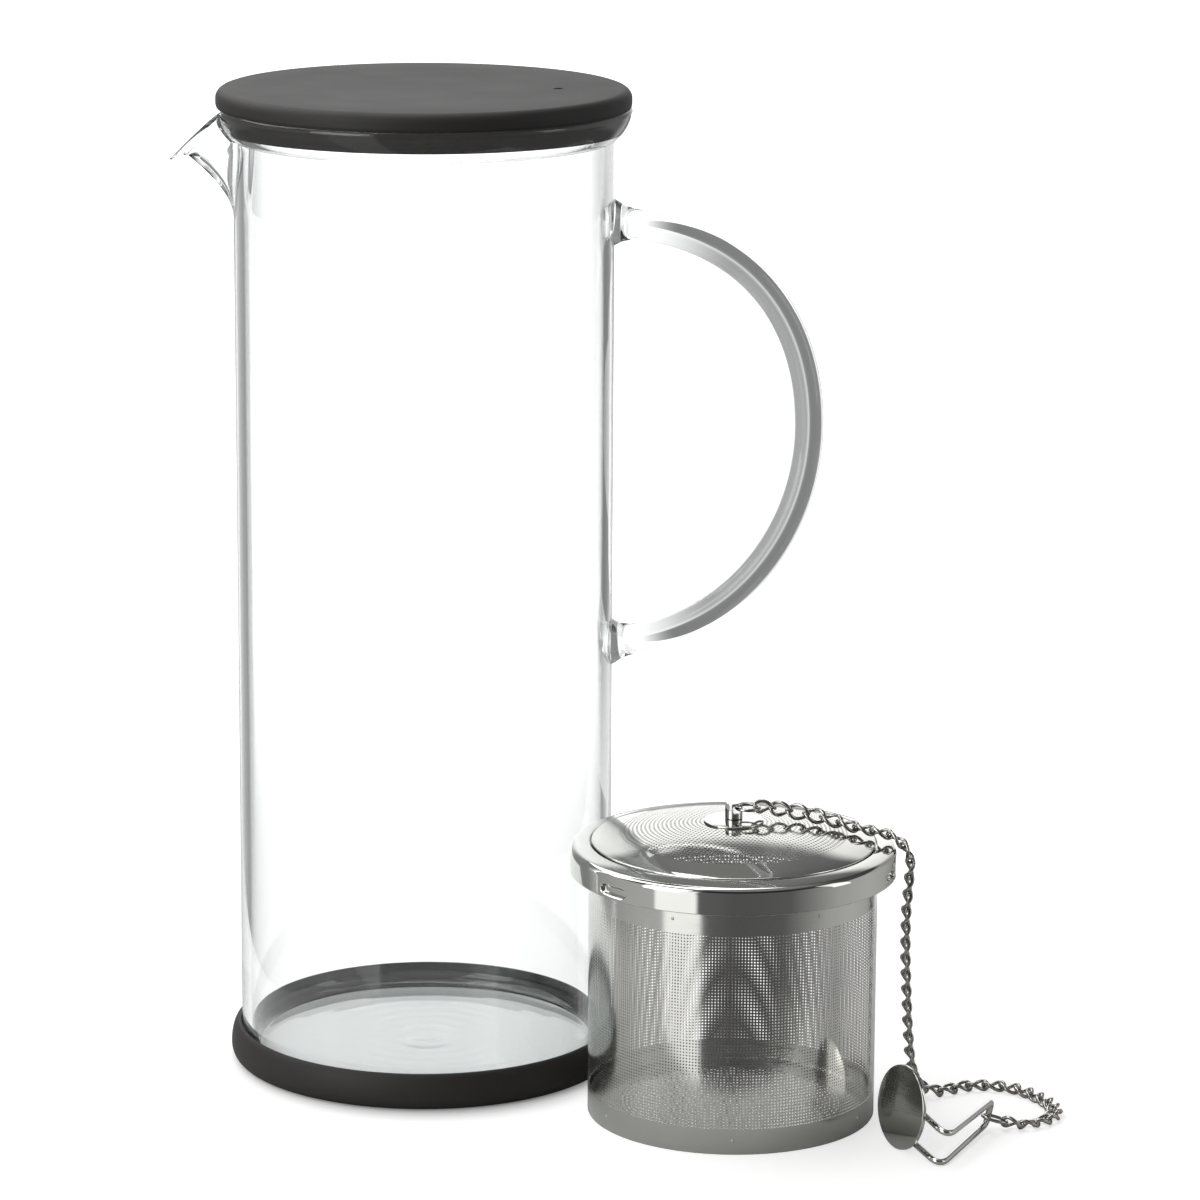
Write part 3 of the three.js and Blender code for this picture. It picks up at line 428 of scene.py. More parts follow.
# Borosilicate glass, mould-blown and fire-polished: colourless through the wall and grey-green along the
# edges, with a slow waviness from blowing. Lamps shine through it, so its shadow is faint. Light that has
# turned twice inside the wall is let straight out, as it would leave after many more turns.
clear_glass, add = new_material("blown_borosilicate_glass")
place = add("ShaderNodeTexCoord").outputs["Object"]
waves = add("ShaderNodeTexNoise", {"Vector": place, "Scale": 38.0, "Detail": 1.0})
wavy = add("ShaderNodeBump", {"Height": waves.outputs["Fac"], "Strength": 0.05, "Distance": 0.0006})
breath = add("ShaderNodeTexNoise", {"Vector": place, "Scale": 25.0, "Detail": 3.0})
polish = add("ShaderNodeMapRange", [breath.outputs["Fac"], 0.3, 0.7, 0.0, 0.012])
glass_shader = add("ShaderNodeBsdfPrincipled", {
    "Base Color": linear("#fcfdfd"), "Roughness": polish, "IOR": 1.474,
    "Transmission Weight": 1.0, "Normal": wavy})
shine_through = add("ShaderNodeBsdfTransparent", {"Color": linear("#e1e3e3")})
path = add("ShaderNodeLightPath").outputs
trapped = add("ShaderNodeMath", [path["Glossy Depth"], 1.5], operation="GREATER_THAN")
let_out = add("ShaderNodeMath", [path["Is Shadow Ray"], trapped], operation="MAXIMUM")
glass_mix = add("ShaderNodeMixShader", [let_out, glass_shader, shine_through])
tint = add("ShaderNodeVolumeAbsorption", {"Color": linear("#c5cac8"), "Density": 5.0})
add("ShaderNodeOutputMaterial", {"Surface": glass_mix, "Volume": tint})
jug.data.materials.append(clear_glass)
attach(jug, "pitcher")
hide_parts("glass_body", "handle")

# A glowing card stands behind the handle, darker inside the bow than outside it, so that the clear rod is
# drawn as a grey bow with a bright line: painted shade and a painted highlight, seen through the glass. It
# belongs to the studio, fades to white towards the jug, and only light that comes through glass meets its
# front.
CARD_BEHIND = 31
CARD_WHITE = 1.2
CARD_START = 4
CARD_GREY_FROM = 16
CARD_WIDE_FROM = 28
CARD_SIDEWAYS = (0.1, 0.6)
painted_shade_card, add = new_material("glowing_card_painted_shade")
path = add("ShaderNodeLightPath").outputs
face = add("ShaderNodeNewGeometry").outputs
front = add("ShaderNodeMath", [path["Is Transmission Ray"], face["Backfacing"]], operation="SUBTRACT")
unseen = add("ShaderNodeBsdfTransparent")
painted_levels = add("ShaderNodeAttribute", attribute_name="level").outputs["Fac"]
# The card glows at its painted levels instead of being lit
shade = add("ShaderNodeEmission", {"Strength": painted_levels})
either = add("ShaderNodeMixShader", [front, unseen, shade])
add("ShaderNodeOutputMaterial", {"Surface": either})

# Distance outwards from the bow's line, and the card's brightness there
card_columns = [(-26, 0.2), (-3, 0.2), (-1, 0.3), (0, 0.7), (1, 0.6), (3, 0.36), (45, 0.36)]
eye = camera.matrix_world.translation
card_points = []
card_levels = []
for before, spot, after in zip(bow, bow[1:], bow[2:]):
    along = (after - before).normalized()
    outward = Vector((-along.z, 0, along.x))
    clear_of_wall = spot.x - GLASS_RADIUS
    if clear_of_wall < CARD_START:
        continue
    for offset, level in card_columns:
        if offset < 0:
            offset *= min(1, clear_of_wall / CARD_WIDE_FROM)
            grey_share = smooth_step(clear_of_wall, CARD_START, CARD_GREY_FROM)
        else:
            grey_share = smooth_step(outward.x, *CARD_SIDEWAYS)
        edge = jug_axis + (spot + outward * offset) * MM
        card_points.append(edge + (edge - eye).normalized() * CARD_BEHIND * MM)
        card_levels.append(CARD_WHITE + (level - CARD_WHITE) * grey_share)
wide = len(card_columns)
card_mesh = bpy.data.meshes.new("card_behind_handle")
card_mesh.from_pydata(card_points, [], [
    (i + k, i + k + wide, i + k + wide + 1, i + k + 1)
    for i in range(0, len(card_points) - wide, wide) for k in range(wide - 1)])
card_mesh.attributes.new("level", "FLOAT", "POINT").data.foreach_set("value", card_levels)
card_mesh.materials.append(painted_shade_card)
card = new_object("card_behind_handle", card_mesh)

# The foot ring: a soft ring of charcoal silicone, moulded with a round outside and a lip that turns in
# under the glass, and stretched over the jug's foot, which it hugs without glue.
RING_GAP = 0.3
RING_INNER = GLASS_RADIUS + RING_GAP
RING_OUTER = RING_INNER + 2.5
RING_HEIGHT = 9.2
RING_WIDEST = 3.4
RING_BULGE = 2.2
RING_LIP = 45
LIP_TURN = math.radians(-61.8)


# A section's corners as radius, height and rounding, turned into points with each corner rounded
def rounded(corners, steps=6):
    points = []
    for i, (r, z, bend) in enumerate(corners):
        here = Vector((r, z))
        if bend == 0:
            points.append(here)
            continue
        before = (Vector(corners[i - 1][:2]) - here).normalized()
        after = (Vector(corners[(i + 1) % len(corners)][:2]) - here).normalized()
        half = before.angle(after) / 2
        middle = here + (before + after).normalized() * (bend / math.sin(half))
        start = here + before * (bend / math.tan(half)) - middle
        stop = here + after * (bend / math.tan(half)) - middle
        points += [middle + start.lerp(stop, k / steps).normalized() * bend for k in range(steps + 1)]
    return points


def unrounded(points):
    return [(r, z, 0) for r, z in points]


def revolve(name, section, axis, loop, steps=192):
    turns = full_turn(steps)
    rings = [[(r * math.cos(a), r * math.sin(a), z) for a in turns] for r, z in section]
    return skin(name, rings, axis, loop=loop)


foot_seat = arc(FOOT_MIDDLE, FOOT_CORNER + RING_GAP, 0, LIP_TURN, 12)
round_outside = [
    (RING_OUTER + RING_BULGE * (across - 1),
     RING_WIDEST + up * (RING_HEIGHT - RING_WIDEST if up > 0 else RING_WIDEST))
    for across, up in arc((0, 0), 1, -math.pi / 2, math.pi / 2, 24)]
foot_section = rounded(
    [(RING_LIP, 0, 0.25)] + unrounded(round_outside)
    + [(RING_INNER, RING_HEIGHT, 0.1)] + unrounded(foot_seat))
foot_ring = revolve("foot_ring", foot_section, jug_axis, True)

# Silicone rubber, moulded in a spark-eroded tool: near black and matt, with a fine even grain and a bloom
# of lighter grey where dust and handling polish it. The grain is drawn coarser than life, at 0.5 mm.
silicone, add = new_material("charcoal_silicone")
place = add("ShaderNodeTexCoord").outputs["Object"]
bloom = add("ShaderNodeTexNoise", {"Vector": place, "Scale": 55.0, "Detail": 4.0}).outputs["Fac"]
shade = add("ShaderNodeMix", {0: bloom, 6: linear("#262423"), 7: linear("#2b2928")}, data_type="RGBA")
grain = add("ShaderNodeTexNoise", {"Vector": place, "Scale": 2000.0, "Detail": 2.0})
matt = add("ShaderNodeMapRange", [bloom, 0.3, 0.7, 0.58, 0.63])
grained = add("ShaderNodeBump", {"Height": grain.outputs["Fac"], "Strength": 0.12, "Distance": 0.0002})
rubber = add("ShaderNodeBsdfPrincipled", {
    "Base Color": shade.outputs[2], "Roughness": matt, "Normal": grained, "IOR": 1.4})
add("ShaderNodeOutputMaterial", {"Surface": rubber})
foot_ring.data.materials.append(silicone)
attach(foot_ring, "pitcher")
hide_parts("base_ring")

# The jug's lid: one moulding of charcoal silicone over a stiff core, with a slightly dished top, a plug
# that is pressed into the flared mouth until it wets the glass, and a small vent hole at the handle's side.
LID_RADIUS = GLASS_RADIUS + COLLAR_FLARE - 0.4
LID_EDGE = LID_RADIUS + 0.2
LID_TOP = RIM_HEIGHT + 4.3
LID_UNDER = RIM_HEIGHT + 0.3
PLUG_CEILING = LID_TOP - 2.6
PLUG_INNER = GLASS_INNER - 3
PLUG_BOTTOM = RIM_HEIGHT - 5.3
PLUG_CORNER = 0.4
PLUG_SIDE = PLUG_BOTTOM + 0.6
PRESS = 0.03
FLANGE_MEETS_RIM = math.radians(50)
VENT_RADIUS = 1.2
VENT_OFFSET = 33.6
VENT_REACH = 8
plug_heights = spread(INNER_COLLAR_BASE, RIM_MIDDLE[1], 14)
plug_side = [(GLASS_INNER + flare_at(z, INNER_COLLAR_BASE) + PRESS, z)
             for z in plug_heights if z > PLUG_SIDE]
over_rim = arc(RIM_MIDDLE, RIM_ROUND - PRESS, math.pi, FLANGE_MEETS_RIM, 12)
# The dished top, as shares of the lid's radius and depths
dish = [(LID_RADIUS * share, LID_TOP - depth) for share, depth in (
    (0.75, 0.15), (0.5, 0.3), (0.25, 0.4), (0, 0.43))]
lid_section = rounded([
    (0, PLUG_CEILING, 0), (PLUG_INNER, PLUG_CEILING, 1.5), (PLUG_INNER, PLUG_BOTTOM, 0.5),
    (plug_side[0][0] - PLUG_CORNER, PLUG_BOTTOM, PLUG_CORNER)] + unrounded(plug_side + over_rim) + [
    (LID_EDGE, LID_UNDER, 1.5), (LID_EDGE, LID_TOP, 2.4)] + unrounded(dish))
jug_lid = revolve("jug_lid", lid_section, jug_axis, False)
vent_low = RIM_HEIGHT - VENT_REACH
vent_high = RIM_HEIGHT + VENT_REACH
vent_section = [(0, vent_low), (VENT_RADIUS, vent_low), (VENT_RADIUS, vent_high), (0, vent_high)]
vent = revolve("vent", vent_section, jug_axis + Vector((VENT_OFFSET, 0, 0)) * MM, False, 24)
combine(jug_lid, vent, "DIFFERENCE")
jug_lid.data.materials.append(silicone)
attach(jug_lid, "pitcher_lid")
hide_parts("pitcher_lid")

# The infuser's basket: a tube rolled from photo-etched stainless sheet, perforated between two plain bands
# and spot-welded along its seam, with a pressed pan for its floor and a notched rim for the lid's bayonet.
BASKET_RADIUS = 36.1
BASKET_HEIGHT = 67.9
SHEET = 0.5
FIELD_LOW = 6.4
FIELD_HIGH = 56
HOLE_PITCH = 0.79
OPEN_SHARE = 0.5
SKIRT_RADIUS = 40.8
infuser_axis = axis_of("basket_wall")


def steel(name, roughest, spread_up, streak):
    material, add = new_material(name)
    place = add("ShaderNodeTexCoord").outputs["Object"]
    flatten = add("ShaderNodeMapping", {"Vector": place, "Scale": (1.0, 1.0, 14.0)})
    streaks = add("ShaderNodeTexNoise", {"Vector": flatten, "Scale": 160.0, "Detail": 3.0})
    smears = add("ShaderNodeTexNoise", {"Vector": place, "Scale": 60.0, "Detail": 4.0})
    wear = add("ShaderNodeMath", [streaks.outputs["Fac"], smears.outputs["Fac"]], operation="MULTIPLY")
    gloss = add("ShaderNodeMapRange", [wear, 0.1, 0.45, roughest * 0.6, roughest])
    metal = add("ShaderNodeMix", {
        0: smears.outputs["Fac"], 6: linear("#d3d3cf"), 7: linear("#c7c7c2")}, data_type="RGBA")
    brushed = add("ShaderNodeBump", {
        "Height": streaks.outputs["Fac"], "Strength": streak, "Distance": 0.0001})
    shader = add("ShaderNodeBsdfPrincipled", {
        "Base Color": metal.outputs[2], "Metallic": 1.0, "Roughness": gloss,
        "Anisotropic": spread_up, "Anisotropic Rotation": 0.25, "Normal": brushed})
    add("ShaderNodeOutputMaterial", {"Surface": shader})
    return material


# Satin stainless sheet: rolled and lightly ground, so that the grey metal blurs the room a little and a
# lamp is drawn as a tall soft stripe.
satin_steel = steel("satin_stainless_sheet", 0.19, 0.25, 0.01)
# Mirror-polished stainless pressings: the same metal, buffed until it reflects the room nearly sharp, with
# faint smears from handling.
polished_steel = steel("polished_stainless_pressing", 0.07, 0.0, 0.003)
# Photo-etched stainless mesh: the resist keeps the webs between the holes bright, a little softer than
# polish.
etched_steel = steel("etched_stainless_mesh", 0.11, 0.0, 0.005)


# A tree with named inputs, the function that adds a node to it, and the sockets that give its inputs
def new_tree(name, sizes):
    group = bpy.data.node_groups.new(name, "GeometryNodeTree")
    group.interface.new_socket("Geometry", in_out="INPUT", socket_type="NodeSocketGeometry")
    for size, kind in sizes.items():
        group.interface.new_socket(size, in_out="INPUT", socket_type="NodeSocket" + kind)
    group.interface.new_socket("Geometry", in_out="OUTPUT", socket_type="NodeSocketGeometry")
    add = partial(add_node, group)
    return group, add, add("NodeGroupInput").outputs


def end_tree(add, shape, material):
    real = add("GeometryNodeRealizeInstances", [shape])
    dressed = add("GeometryNodeSetMaterial", {"Geometry": real, "Material": material})
    add("NodeGroupOutput", [dressed])


# Run a tree on an object and keep what it makes
def grow(piece, group, values):
    growth = piece.modifiers.new("grow", "NODES")
    growth.node_group = group
    for item in group.interface.items_tree:
        if item.in_out == "INPUT" and item.name in values:
            growth[item.identifier] = values[item.name]
    keep_result(piece)


def empty_piece(name):
    return new_object(name, bpy.data.meshes.new(name))


# A flat grid whose every cell has a square hole, ready to be rolled or domed
def holed_grid(add, width, height, columns, rows_across, open_share):
    columns_plus = add("ShaderNodeMath", [columns, 1.0], operation="ADD")
    rows_plus = add("ShaderNodeMath", [rows_across, 1.0], operation="ADD")
    grid = add("GeometryNodeMeshGrid", {
        "Size X": width, "Size Y": height, "Vertices X": columns_plus, "Vertices Y": rows_plus})
    cells = add("GeometryNodeExtrudeMesh", {"Mesh": grid, "Offset Scale": 0.0}).outputs
    holes = add("GeometryNodeScaleElements", {
        "Geometry": cells["Mesh"], "Selection": cells["Top"], "Scale": open_share})
    return add("GeometryNodeDeleteGeometry", {
        "Geometry": holes, "Selection": cells["Top"]}, domain="FACE")


# A place at an angle, a distance and a height from an upright axis
def place_round(add, angle, radius, level, axis):
    sine = add("ShaderNodeMath", [angle], operation="SINE")
    cosine = add("ShaderNodeMath", [angle], operation="COSINE")
    out_x = add("ShaderNodeMath", [cosine, radius], operation="MULTIPLY")
    out_y = add("ShaderNodeMath", [sine, radius], operation="MULTIPLY")
    spot = add("ShaderNodeCombineXYZ", [out_x, out_y, level])
    return add("ShaderNodeVectorMath", [spot, axis], operation="ADD")


roll_tree, add, given = new_tree("rolled_perforated_sheet", {
    "Radius": "Float", "Height": "Float", "Bottom": "Float",
    "Holes Round": "Int", "Holes Up": "Int", "Open Share": "Float",
    "Axis": "Vector", "Material": "Material"})
girth = add("ShaderNodeMath", [given["Radius"], 2 * math.pi], operation="MULTIPLY")
sheet = holed_grid(
    add, girth, given["Height"], given["Holes Round"], given["Holes Up"], given["Open Share"])
here = add("GeometryNodeInputPosition")
spot = add("ShaderNodeSeparateXYZ", [here]).outputs
turn = add("ShaderNodeMath", [spot["X"], given["Radius"]], operation="DIVIDE")
half_height = add("ShaderNodeMath", [given["Height"], 0.5, given["Bottom"]], operation="MULTIPLY_ADD")
up = add("ShaderNodeMath", [spot["Y"], half_height], operation="ADD")
stood = place_round(add, turn, given["Radius"], up, given["Axis"])
tube = add("GeometryNodeSetPosition", {"Geometry": sheet, "Position": stood})
welded = add("GeometryNodeMergeByDistance", {"Geometry": tube, "Distance": 1e-6})
smoothed = add("GeometryNodeSetShadeSmooth", {"Geometry": welded})
end_tree(add, smoothed, given["Material"])

basket_field = empty_piece("basket_perforated_wall")
grow(basket_field, roll_tree, {
    "Radius": BASKET_RADIUS * MM, "Height": (FIELD_HIGH - FIELD_LOW) * MM, "Bottom": FIELD_LOW * MM,
    "Holes Round": round(2 * math.pi * BASKET_RADIUS / HOLE_PITCH),
    "Holes Up": round((FIELD_HIGH - FIELD_LOW) / HOLE_PITCH), "Open Share": OPEN_SHARE,
    "Axis": infuser_axis, "Material": satin_steel})
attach(basket_field, "infuser_basket")

# Each band's name, its lower and upper edge, and the rounding inside and outside of its lower edge
for name, low, high, inside, outside in (
        ("basket_foot_band", 0, FIELD_LOW, 0.1, 0.15), ("basket_top_band", FIELD_HIGH, BASKET_HEIGHT, 0, 0)):
    band = revolve(name, rounded([
        (BASKET_RADIUS - SHEET, low, inside), (BASKET_RADIUS, low, outside),
        (BASKET_RADIUS, high, 0), (BASKET_RADIUS - SHEET, high, 0)], 2), infuser_axis, True)
    band.data.materials.append(satin_steel)
    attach(band, "infuser_basket")
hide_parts("basket_wall")

# Spot welds hold the seam, the pan and the rim's sleeve: low beads of stainless steel, six round the top
# band and six round the foot band.
WELD_COUNT = 6
WELD_BEAD = 0.8
WELD_SINK = 0.66
weld_tree, add, given = new_tree("ring_of_weld_beads", {
    "Radius": "Float", "Beads": "Int", "Bead Size": "Float",
    "Turn": "Float", "Place": "Vector", "Material": "Material"})
bead_line = add("GeometryNodeMeshCircle", {"Vertices": given["Beads"], "Radius": given["Radius"]})
bead = add("GeometryNodeMeshUVSphere", {"Segments": 16, "Rings": 10, "Radius": given["Bead Size"]})
beads = add("GeometryNodeInstanceOnPoints", {"Points": bead_line, "Instance": bead})
around_axis = add("ShaderNodeCombineXYZ", {2: given["Turn"]})
turned = add("GeometryNodeTransform", {
    "Geometry": beads, "Translation": given["Place"], "Rotation": around_axis})
smoothed = add("GeometryNodeSetShadeSmooth", {"Geometry": turned})
end_tree(add, smoothed, given["Material"])

# Weld nuggets: stainless sheet that was melted and has cooled dull and straw-grey, rougher than the sheet.
welded_steel = steel("spot_welded_stainless", 0.6, 0.0, 0.2)
# Each ring's height and the bearing of its first bead
for name, bead_level, first_bead in (("basket_top_welds", 59.4, 244.5), ("basket_foot_welds", 3.6, 209.5)):
    welds = empty_piece(name)
    grow(welds, weld_tree, {
        "Radius": (BASKET_RADIUS - WELD_SINK) * MM, "Beads": WELD_COUNT, "Bead Size": WELD_BEAD * MM,
        "Turn": math.radians(first_bead), "Place": infuser_axis + Vector((0, 0, bead_level)) * MM,
        "Material": welded_steel})
    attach(welds, "infuser_basket")

# The basket's floor: a shallow pan of stainless sheet with a turned-up wall, pressed into the tube. It and
# the lid's screen share one tree: rings of holes, each with six more than the ring inside it. A point's
# number gives its ring and its place there, and each point carries a small plate with a hole.
PAN_LEVEL = 1.2
PAN_TOP = PAN_LEVEL + 4
PAN_RADIUS = BASKET_RADIUS - SHEET - 0.3
PAN_FIELD = 29
PAN_EDGE = PAN_FIELD - 0.8
RING_PITCH = 1.05
PLATE_DEPTH = 1.01
PLATE_WIDTH = 1.07
NUMBER_SHIFT = 0.2533
dome_tree, add, given = new_tree("ringed_perforated_disc", {
    "Inner": "Float", "Rings": "Int", "Pitch": "Float",
    "Top": "Float", "Drop": "Float", "Open Share": "Float",
    "Axis": "Vector", "Material": "Material"})
next_ring = add("ShaderNodeMath", [given["Rings"], 1.0], operation="ADD")
pairs = add("ShaderNodeMath", [given["Rings"], next_ring], operation="MULTIPLY")
hole_count = add("ShaderNodeMath", [pairs, 3.0], operation="MULTIPLY")
points = add("GeometryNodePoints", {"Count": hole_count})
number = add("GeometryNodeInputIndex")
third = add("ShaderNodeMath", [number, 1 / 3, NUMBER_SHIFT], operation="MULTIPLY_ADD")
rooted = add("ShaderNodeMath", [third], operation="SQRT")
nearly = add("ShaderNodeMath", [rooted, 0.5], operation="ADD")
ring = add("ShaderNodeMath", [nearly], operation="FLOOR")
ring_before = add("ShaderNodeMath", [ring, 1.0], operation="SUBTRACT")
inside = add("ShaderNodeMath", [ring, ring_before], operation="MULTIPLY")
inside_count = add("ShaderNodeMath", [inside, 3.0], operation="MULTIPLY")
along = add("ShaderNodeMath", [number, inside_count], operation="SUBTRACT")
share = add("ShaderNodeMath", [along, ring], operation="DIVIDE")
angle = add("ShaderNodeMath", [share, math.pi / 3], operation="MULTIPLY")
radius = add("ShaderNodeMath", [ring, given["Pitch"]], operation="MULTIPLY")
square = add("ShaderNodeMath", [radius, radius], operation="MULTIPLY")
sink = add("ShaderNodeMath", [square, given["Drop"]], operation="MULTIPLY")
level = add("ShaderNodeMath", [given["Top"], sink], operation="SUBTRACT")
stood = place_round(add, angle, radius, level, given["Axis"])
placed = add("GeometryNodeSetPosition", {"Geometry": points, "Position": stood})
steep = add("ShaderNodeMath", [radius, given["Drop"]], operation="MULTIPLY")
slope = add("ShaderNodeMath", [steep, 2.0], operation="MULTIPLY")
tilt = add("ShaderNodeMath", [slope], operation="ARCTANGENT")
lean = add("ShaderNodeCombineXYZ", {1: tilt, 2: angle})
facing = add("FunctionNodeEulerToRotation", [lean])
plate_depth = add("ShaderNodeMath", [given["Pitch"], PLATE_DEPTH], operation="MULTIPLY")
plate_width = add("ShaderNodeMath", [given["Pitch"], PLATE_WIDTH], operation="MULTIPLY")
plate = holed_grid(add, plate_depth, plate_width, 1, 1, given["Open Share"])
clear = add("FunctionNodeCompare", [radius, given["Inner"]], operation="GREATER_THAN")
plates = add("GeometryNodeInstanceOnPoints", {
    "Points": placed, "Selection": clear, "Instance": plate, "Rotation": facing})
end_tree(add, plates, given["Material"])

pan_field = empty_piece("basket_floor_field")
grow(pan_field, dome_tree, {
    "Inner": 0.0, "Rings": round(PAN_FIELD / RING_PITCH), "Pitch": RING_PITCH * MM,
    "Top": (PAN_LEVEL + SHEET) * MM, "Drop": 0.0, "Open Share": OPEN_SHARE, "Axis": infuser_axis,
    "Material": etched_steel})
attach(pan_field, "infuser_basket")
pan_inside = PAN_LEVEL + SHEET + 0.02
pan_edge = revolve("basket_floor_edge", rounded([
    (PAN_EDGE, PAN_LEVEL, 0.1), (PAN_RADIUS, PAN_LEVEL, 1.7), (PAN_RADIUS, PAN_TOP, 0.1),
    (PAN_RADIUS - SHEET, PAN_TOP, 0.1), (PAN_RADIUS - SHEET, pan_inside, 1.2), (PAN_EDGE, pan_inside, 0.1),
], 4), infuser_axis, True)
pan_edge.data.materials.append(satin_steel)
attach(pan_edge, "infuser_basket")
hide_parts("basket_floor")

# The basket's rim: a sleeve and flange of stainless sheet, pushed over the tube's mouth, with three notches
# that let the lid's dimples pass.
SLEEVE_INNER = BASKET_RADIUS + 0.3
SLEEVE_OUTER = SLEEVE_INNER + SHEET
SLEEVE_BOTTOM = BASKET_HEIGHT - 4.2
FLANGE_RADIUS = SLEEVE_INNER + 3.2
FLANGE_BOTTOM = BASKET_HEIGHT - 1.2
DIMPLE_COUNT = 3
DIMPLE_BEARING = 222
NOTCH_SIZE = (6.4, 11.4, 16)
NOTCH_OFFSET = 41.3
dimple_angles = [math.radians(DIMPLE_BEARING + 360 / DIMPLE_COUNT * i) for i in range(DIMPLE_COUNT)]
rim = revolve("basket_rim", rounded([
    (SLEEVE_INNER, SLEEVE_BOTTOM, 0.1), (SLEEVE_OUTER, SLEEVE_BOTTOM, 0.1),
    (SLEEVE_OUTER, FLANGE_BOTTOM, 0), (FLANGE_RADIUS, FLANGE_BOTTOM, 0.3),
    (FLANGE_RADIUS, BASKET_HEIGHT, 0.3), (SLEEVE_INNER, BASKET_HEIGHT, 0.1),
], 2), infuser_axis, True)
for angle in dimple_angles:
    notch_mesh = bpy.data.meshes.new("notch")
    shape = bmesh.new()
    bmesh.ops.create_cube(shape, size=1)
    notch_turn = Matrix.Translation(infuser_axis) @ Matrix.Rotation(angle, 4, "Z")
    notch_place = Matrix.Translation(Vector((NOTCH_OFFSET, 0, BASKET_HEIGHT)) * MM)
    shape.transform(notch_turn @ notch_place @ Matrix.Diagonal([side * MM for side in NOTCH_SIZE] + [1]))
    shape.to_mesh(notch_mesh)
    shape.free()
    combine(rim, new_object("notch", notch_mesh), "DIFFERENCE")
rim.data.materials.append(satin_steel)
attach(rim, "infuser_basket")
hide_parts("basket_rim")

# The infuser's lid: a ring pressed from stainless sheet with a sloped shoulder, a skirt with three dimples
# for the bayonet, and a domed perforated screen held down on a sunk seat.
LID_SHEET = 0.6
SKIRT_INNER = SKIRT_RADIUS - LID_SHEET
SHOULDER_TOP = 68.8
SHOULDER_UNDER = SHOULDER_TOP - LID_SHEET
SKIRT_BOTTOM = SHOULDER_TOP - 6.3
CROWN = SHOULDER_TOP + 1.2
SEAT_RADIUS = SKIRT_RADIUS - 5
SEAT_INNER = SEAT_RADIUS - 3.4
SEAT_TOP = CROWN - 0.9
DIMPLE_LEVEL = 64.55
DIMPLE_STRAIGHT = 3.25
DIMPLE_DEPTH = 1.2
DIMPLE_SIDE = (0.55, 1.5)
SKIRT_ROWS = 24
LID_COLUMNS = 960
lid_rows = rounded([
    (SKIRT_INNER, SKIRT_BOTTOM, 0.15), (SKIRT_RADIUS, SKIRT_BOTTOM, 0.15),
    (SKIRT_RADIUS, SHOULDER_TOP + 0.15, 1.8), (SEAT_RADIUS, CROWN, 0.25), (SEAT_RADIUS, SEAT_TOP, 0.1),
    (SEAT_INNER, SEAT_TOP, 0.1), (SEAT_INNER, SHOULDER_UNDER, 0.1), (SKIRT_INNER, SHOULDER_UNDER, 0.3)], 5)


# Add rows up both sides of the skirt, so that a dimple can be pressed into it
def finer_skirt(section):
    finer = []
    for i, point in enumerate(section):
        finer.append(point)
        after = section[(i + 1) % len(section)]
        if abs(after.x - point.x) < 0.01 and abs(after.y - point.y) > 4:
            finer += [point.lerp(after, k / SKIRT_ROWS) for k in range(1, SKIRT_ROWS)]
    return finer


# How far a dimple presses the skirt in: an oval slot with steep ends
def dimple_depth(angle, height):
    depth = 0
    for middle in dimple_angles:
        turn = (angle - middle + math.pi) % (2 * math.pi) - math.pi
        along = max(0, abs(turn * SKIRT_RADIUS) - DIMPLE_STRAIGHT)
        distance = math.hypot(along, height - DIMPLE_LEVEL)
        depth = max(depth, DIMPLE_DEPTH * (1 - smooth_step(distance, *DIMPLE_SIDE)))
    return depth


turns = full_turn(LID_COLUMNS)
rings = []
for r, z in finer_skirt(lid_rows):
    ring = []
    for a in turns:
        pressed = r - dimple_depth(a, z) if r > SKIRT_INNER - 0.1 else r
        ring.append((pressed * math.cos(a), pressed * math.sin(a), z))
    rings.append(ring)
lid_ring = skin("infuser_lid_ring_pressed", rings, infuser_axis, loop=True)
lid_ring.data.materials.append(polished_steel)
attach(lid_ring, "infuser_lid")
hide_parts("infuser_lid_ring")

SCREEN_RADIUS = SEAT_RADIUS - 0.3
SCREEN_LIP = 0.9
SCREEN_EDGE = SEAT_TOP + 0.3 + SCREEN_LIP
SCREEN_FOOT = SCREEN_EDGE - SCREEN_LIP
DOME_RISE = 4.9
SCREEN_TOP = SCREEN_EDGE + DOME_RISE
SCREEN_MIDDLE = 6.5
SCREEN_FIELD = 28.7
EDGE_RADII = (28.4, 30, 31.5, 33)
UNDER_EDGE = 34.6


def dome_at(radius):
    return SCREEN_TOP - DOME_RISE * (radius / SCREEN_RADIUS) ** 2


screen_field = empty_piece("infuser_lid_screen_field")
grow(screen_field, dome_tree, {
    "Inner": SCREEN_MIDDLE * MM, "Rings": round(SCREEN_FIELD / RING_PITCH), "Pitch": RING_PITCH * MM,
    "Top": SCREEN_TOP * MM, "Drop": DOME_RISE / SCREEN_RADIUS ** 2 / MM, "Open Share": OPEN_SHARE,
    "Axis": infuser_axis, "Material": etched_steel})
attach(screen_field, "infuser_lid")
outer_top = [(r, dome_at(r) + 0.03, 0) for r in reversed(EDGE_RADII)]
outer_under = [(r, dome_at(r) - SHEET, 0) for r in EDGE_RADII + (UNDER_EDGE,)]
screen_edge = revolve("infuser_lid_screen_edge", rounded(
    outer_under + [(SCREEN_RADIUS - SHEET, SCREEN_FOOT, 0.1), (SCREEN_RADIUS, SCREEN_FOOT, 0.1),
                   (SCREEN_RADIUS, SCREEN_EDGE, 0.35)] + outer_top), infuser_axis, True)
screen_edge.data.materials.append(polished_steel)
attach(screen_edge, "infuser_lid")
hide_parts("infuser_lid_screen")

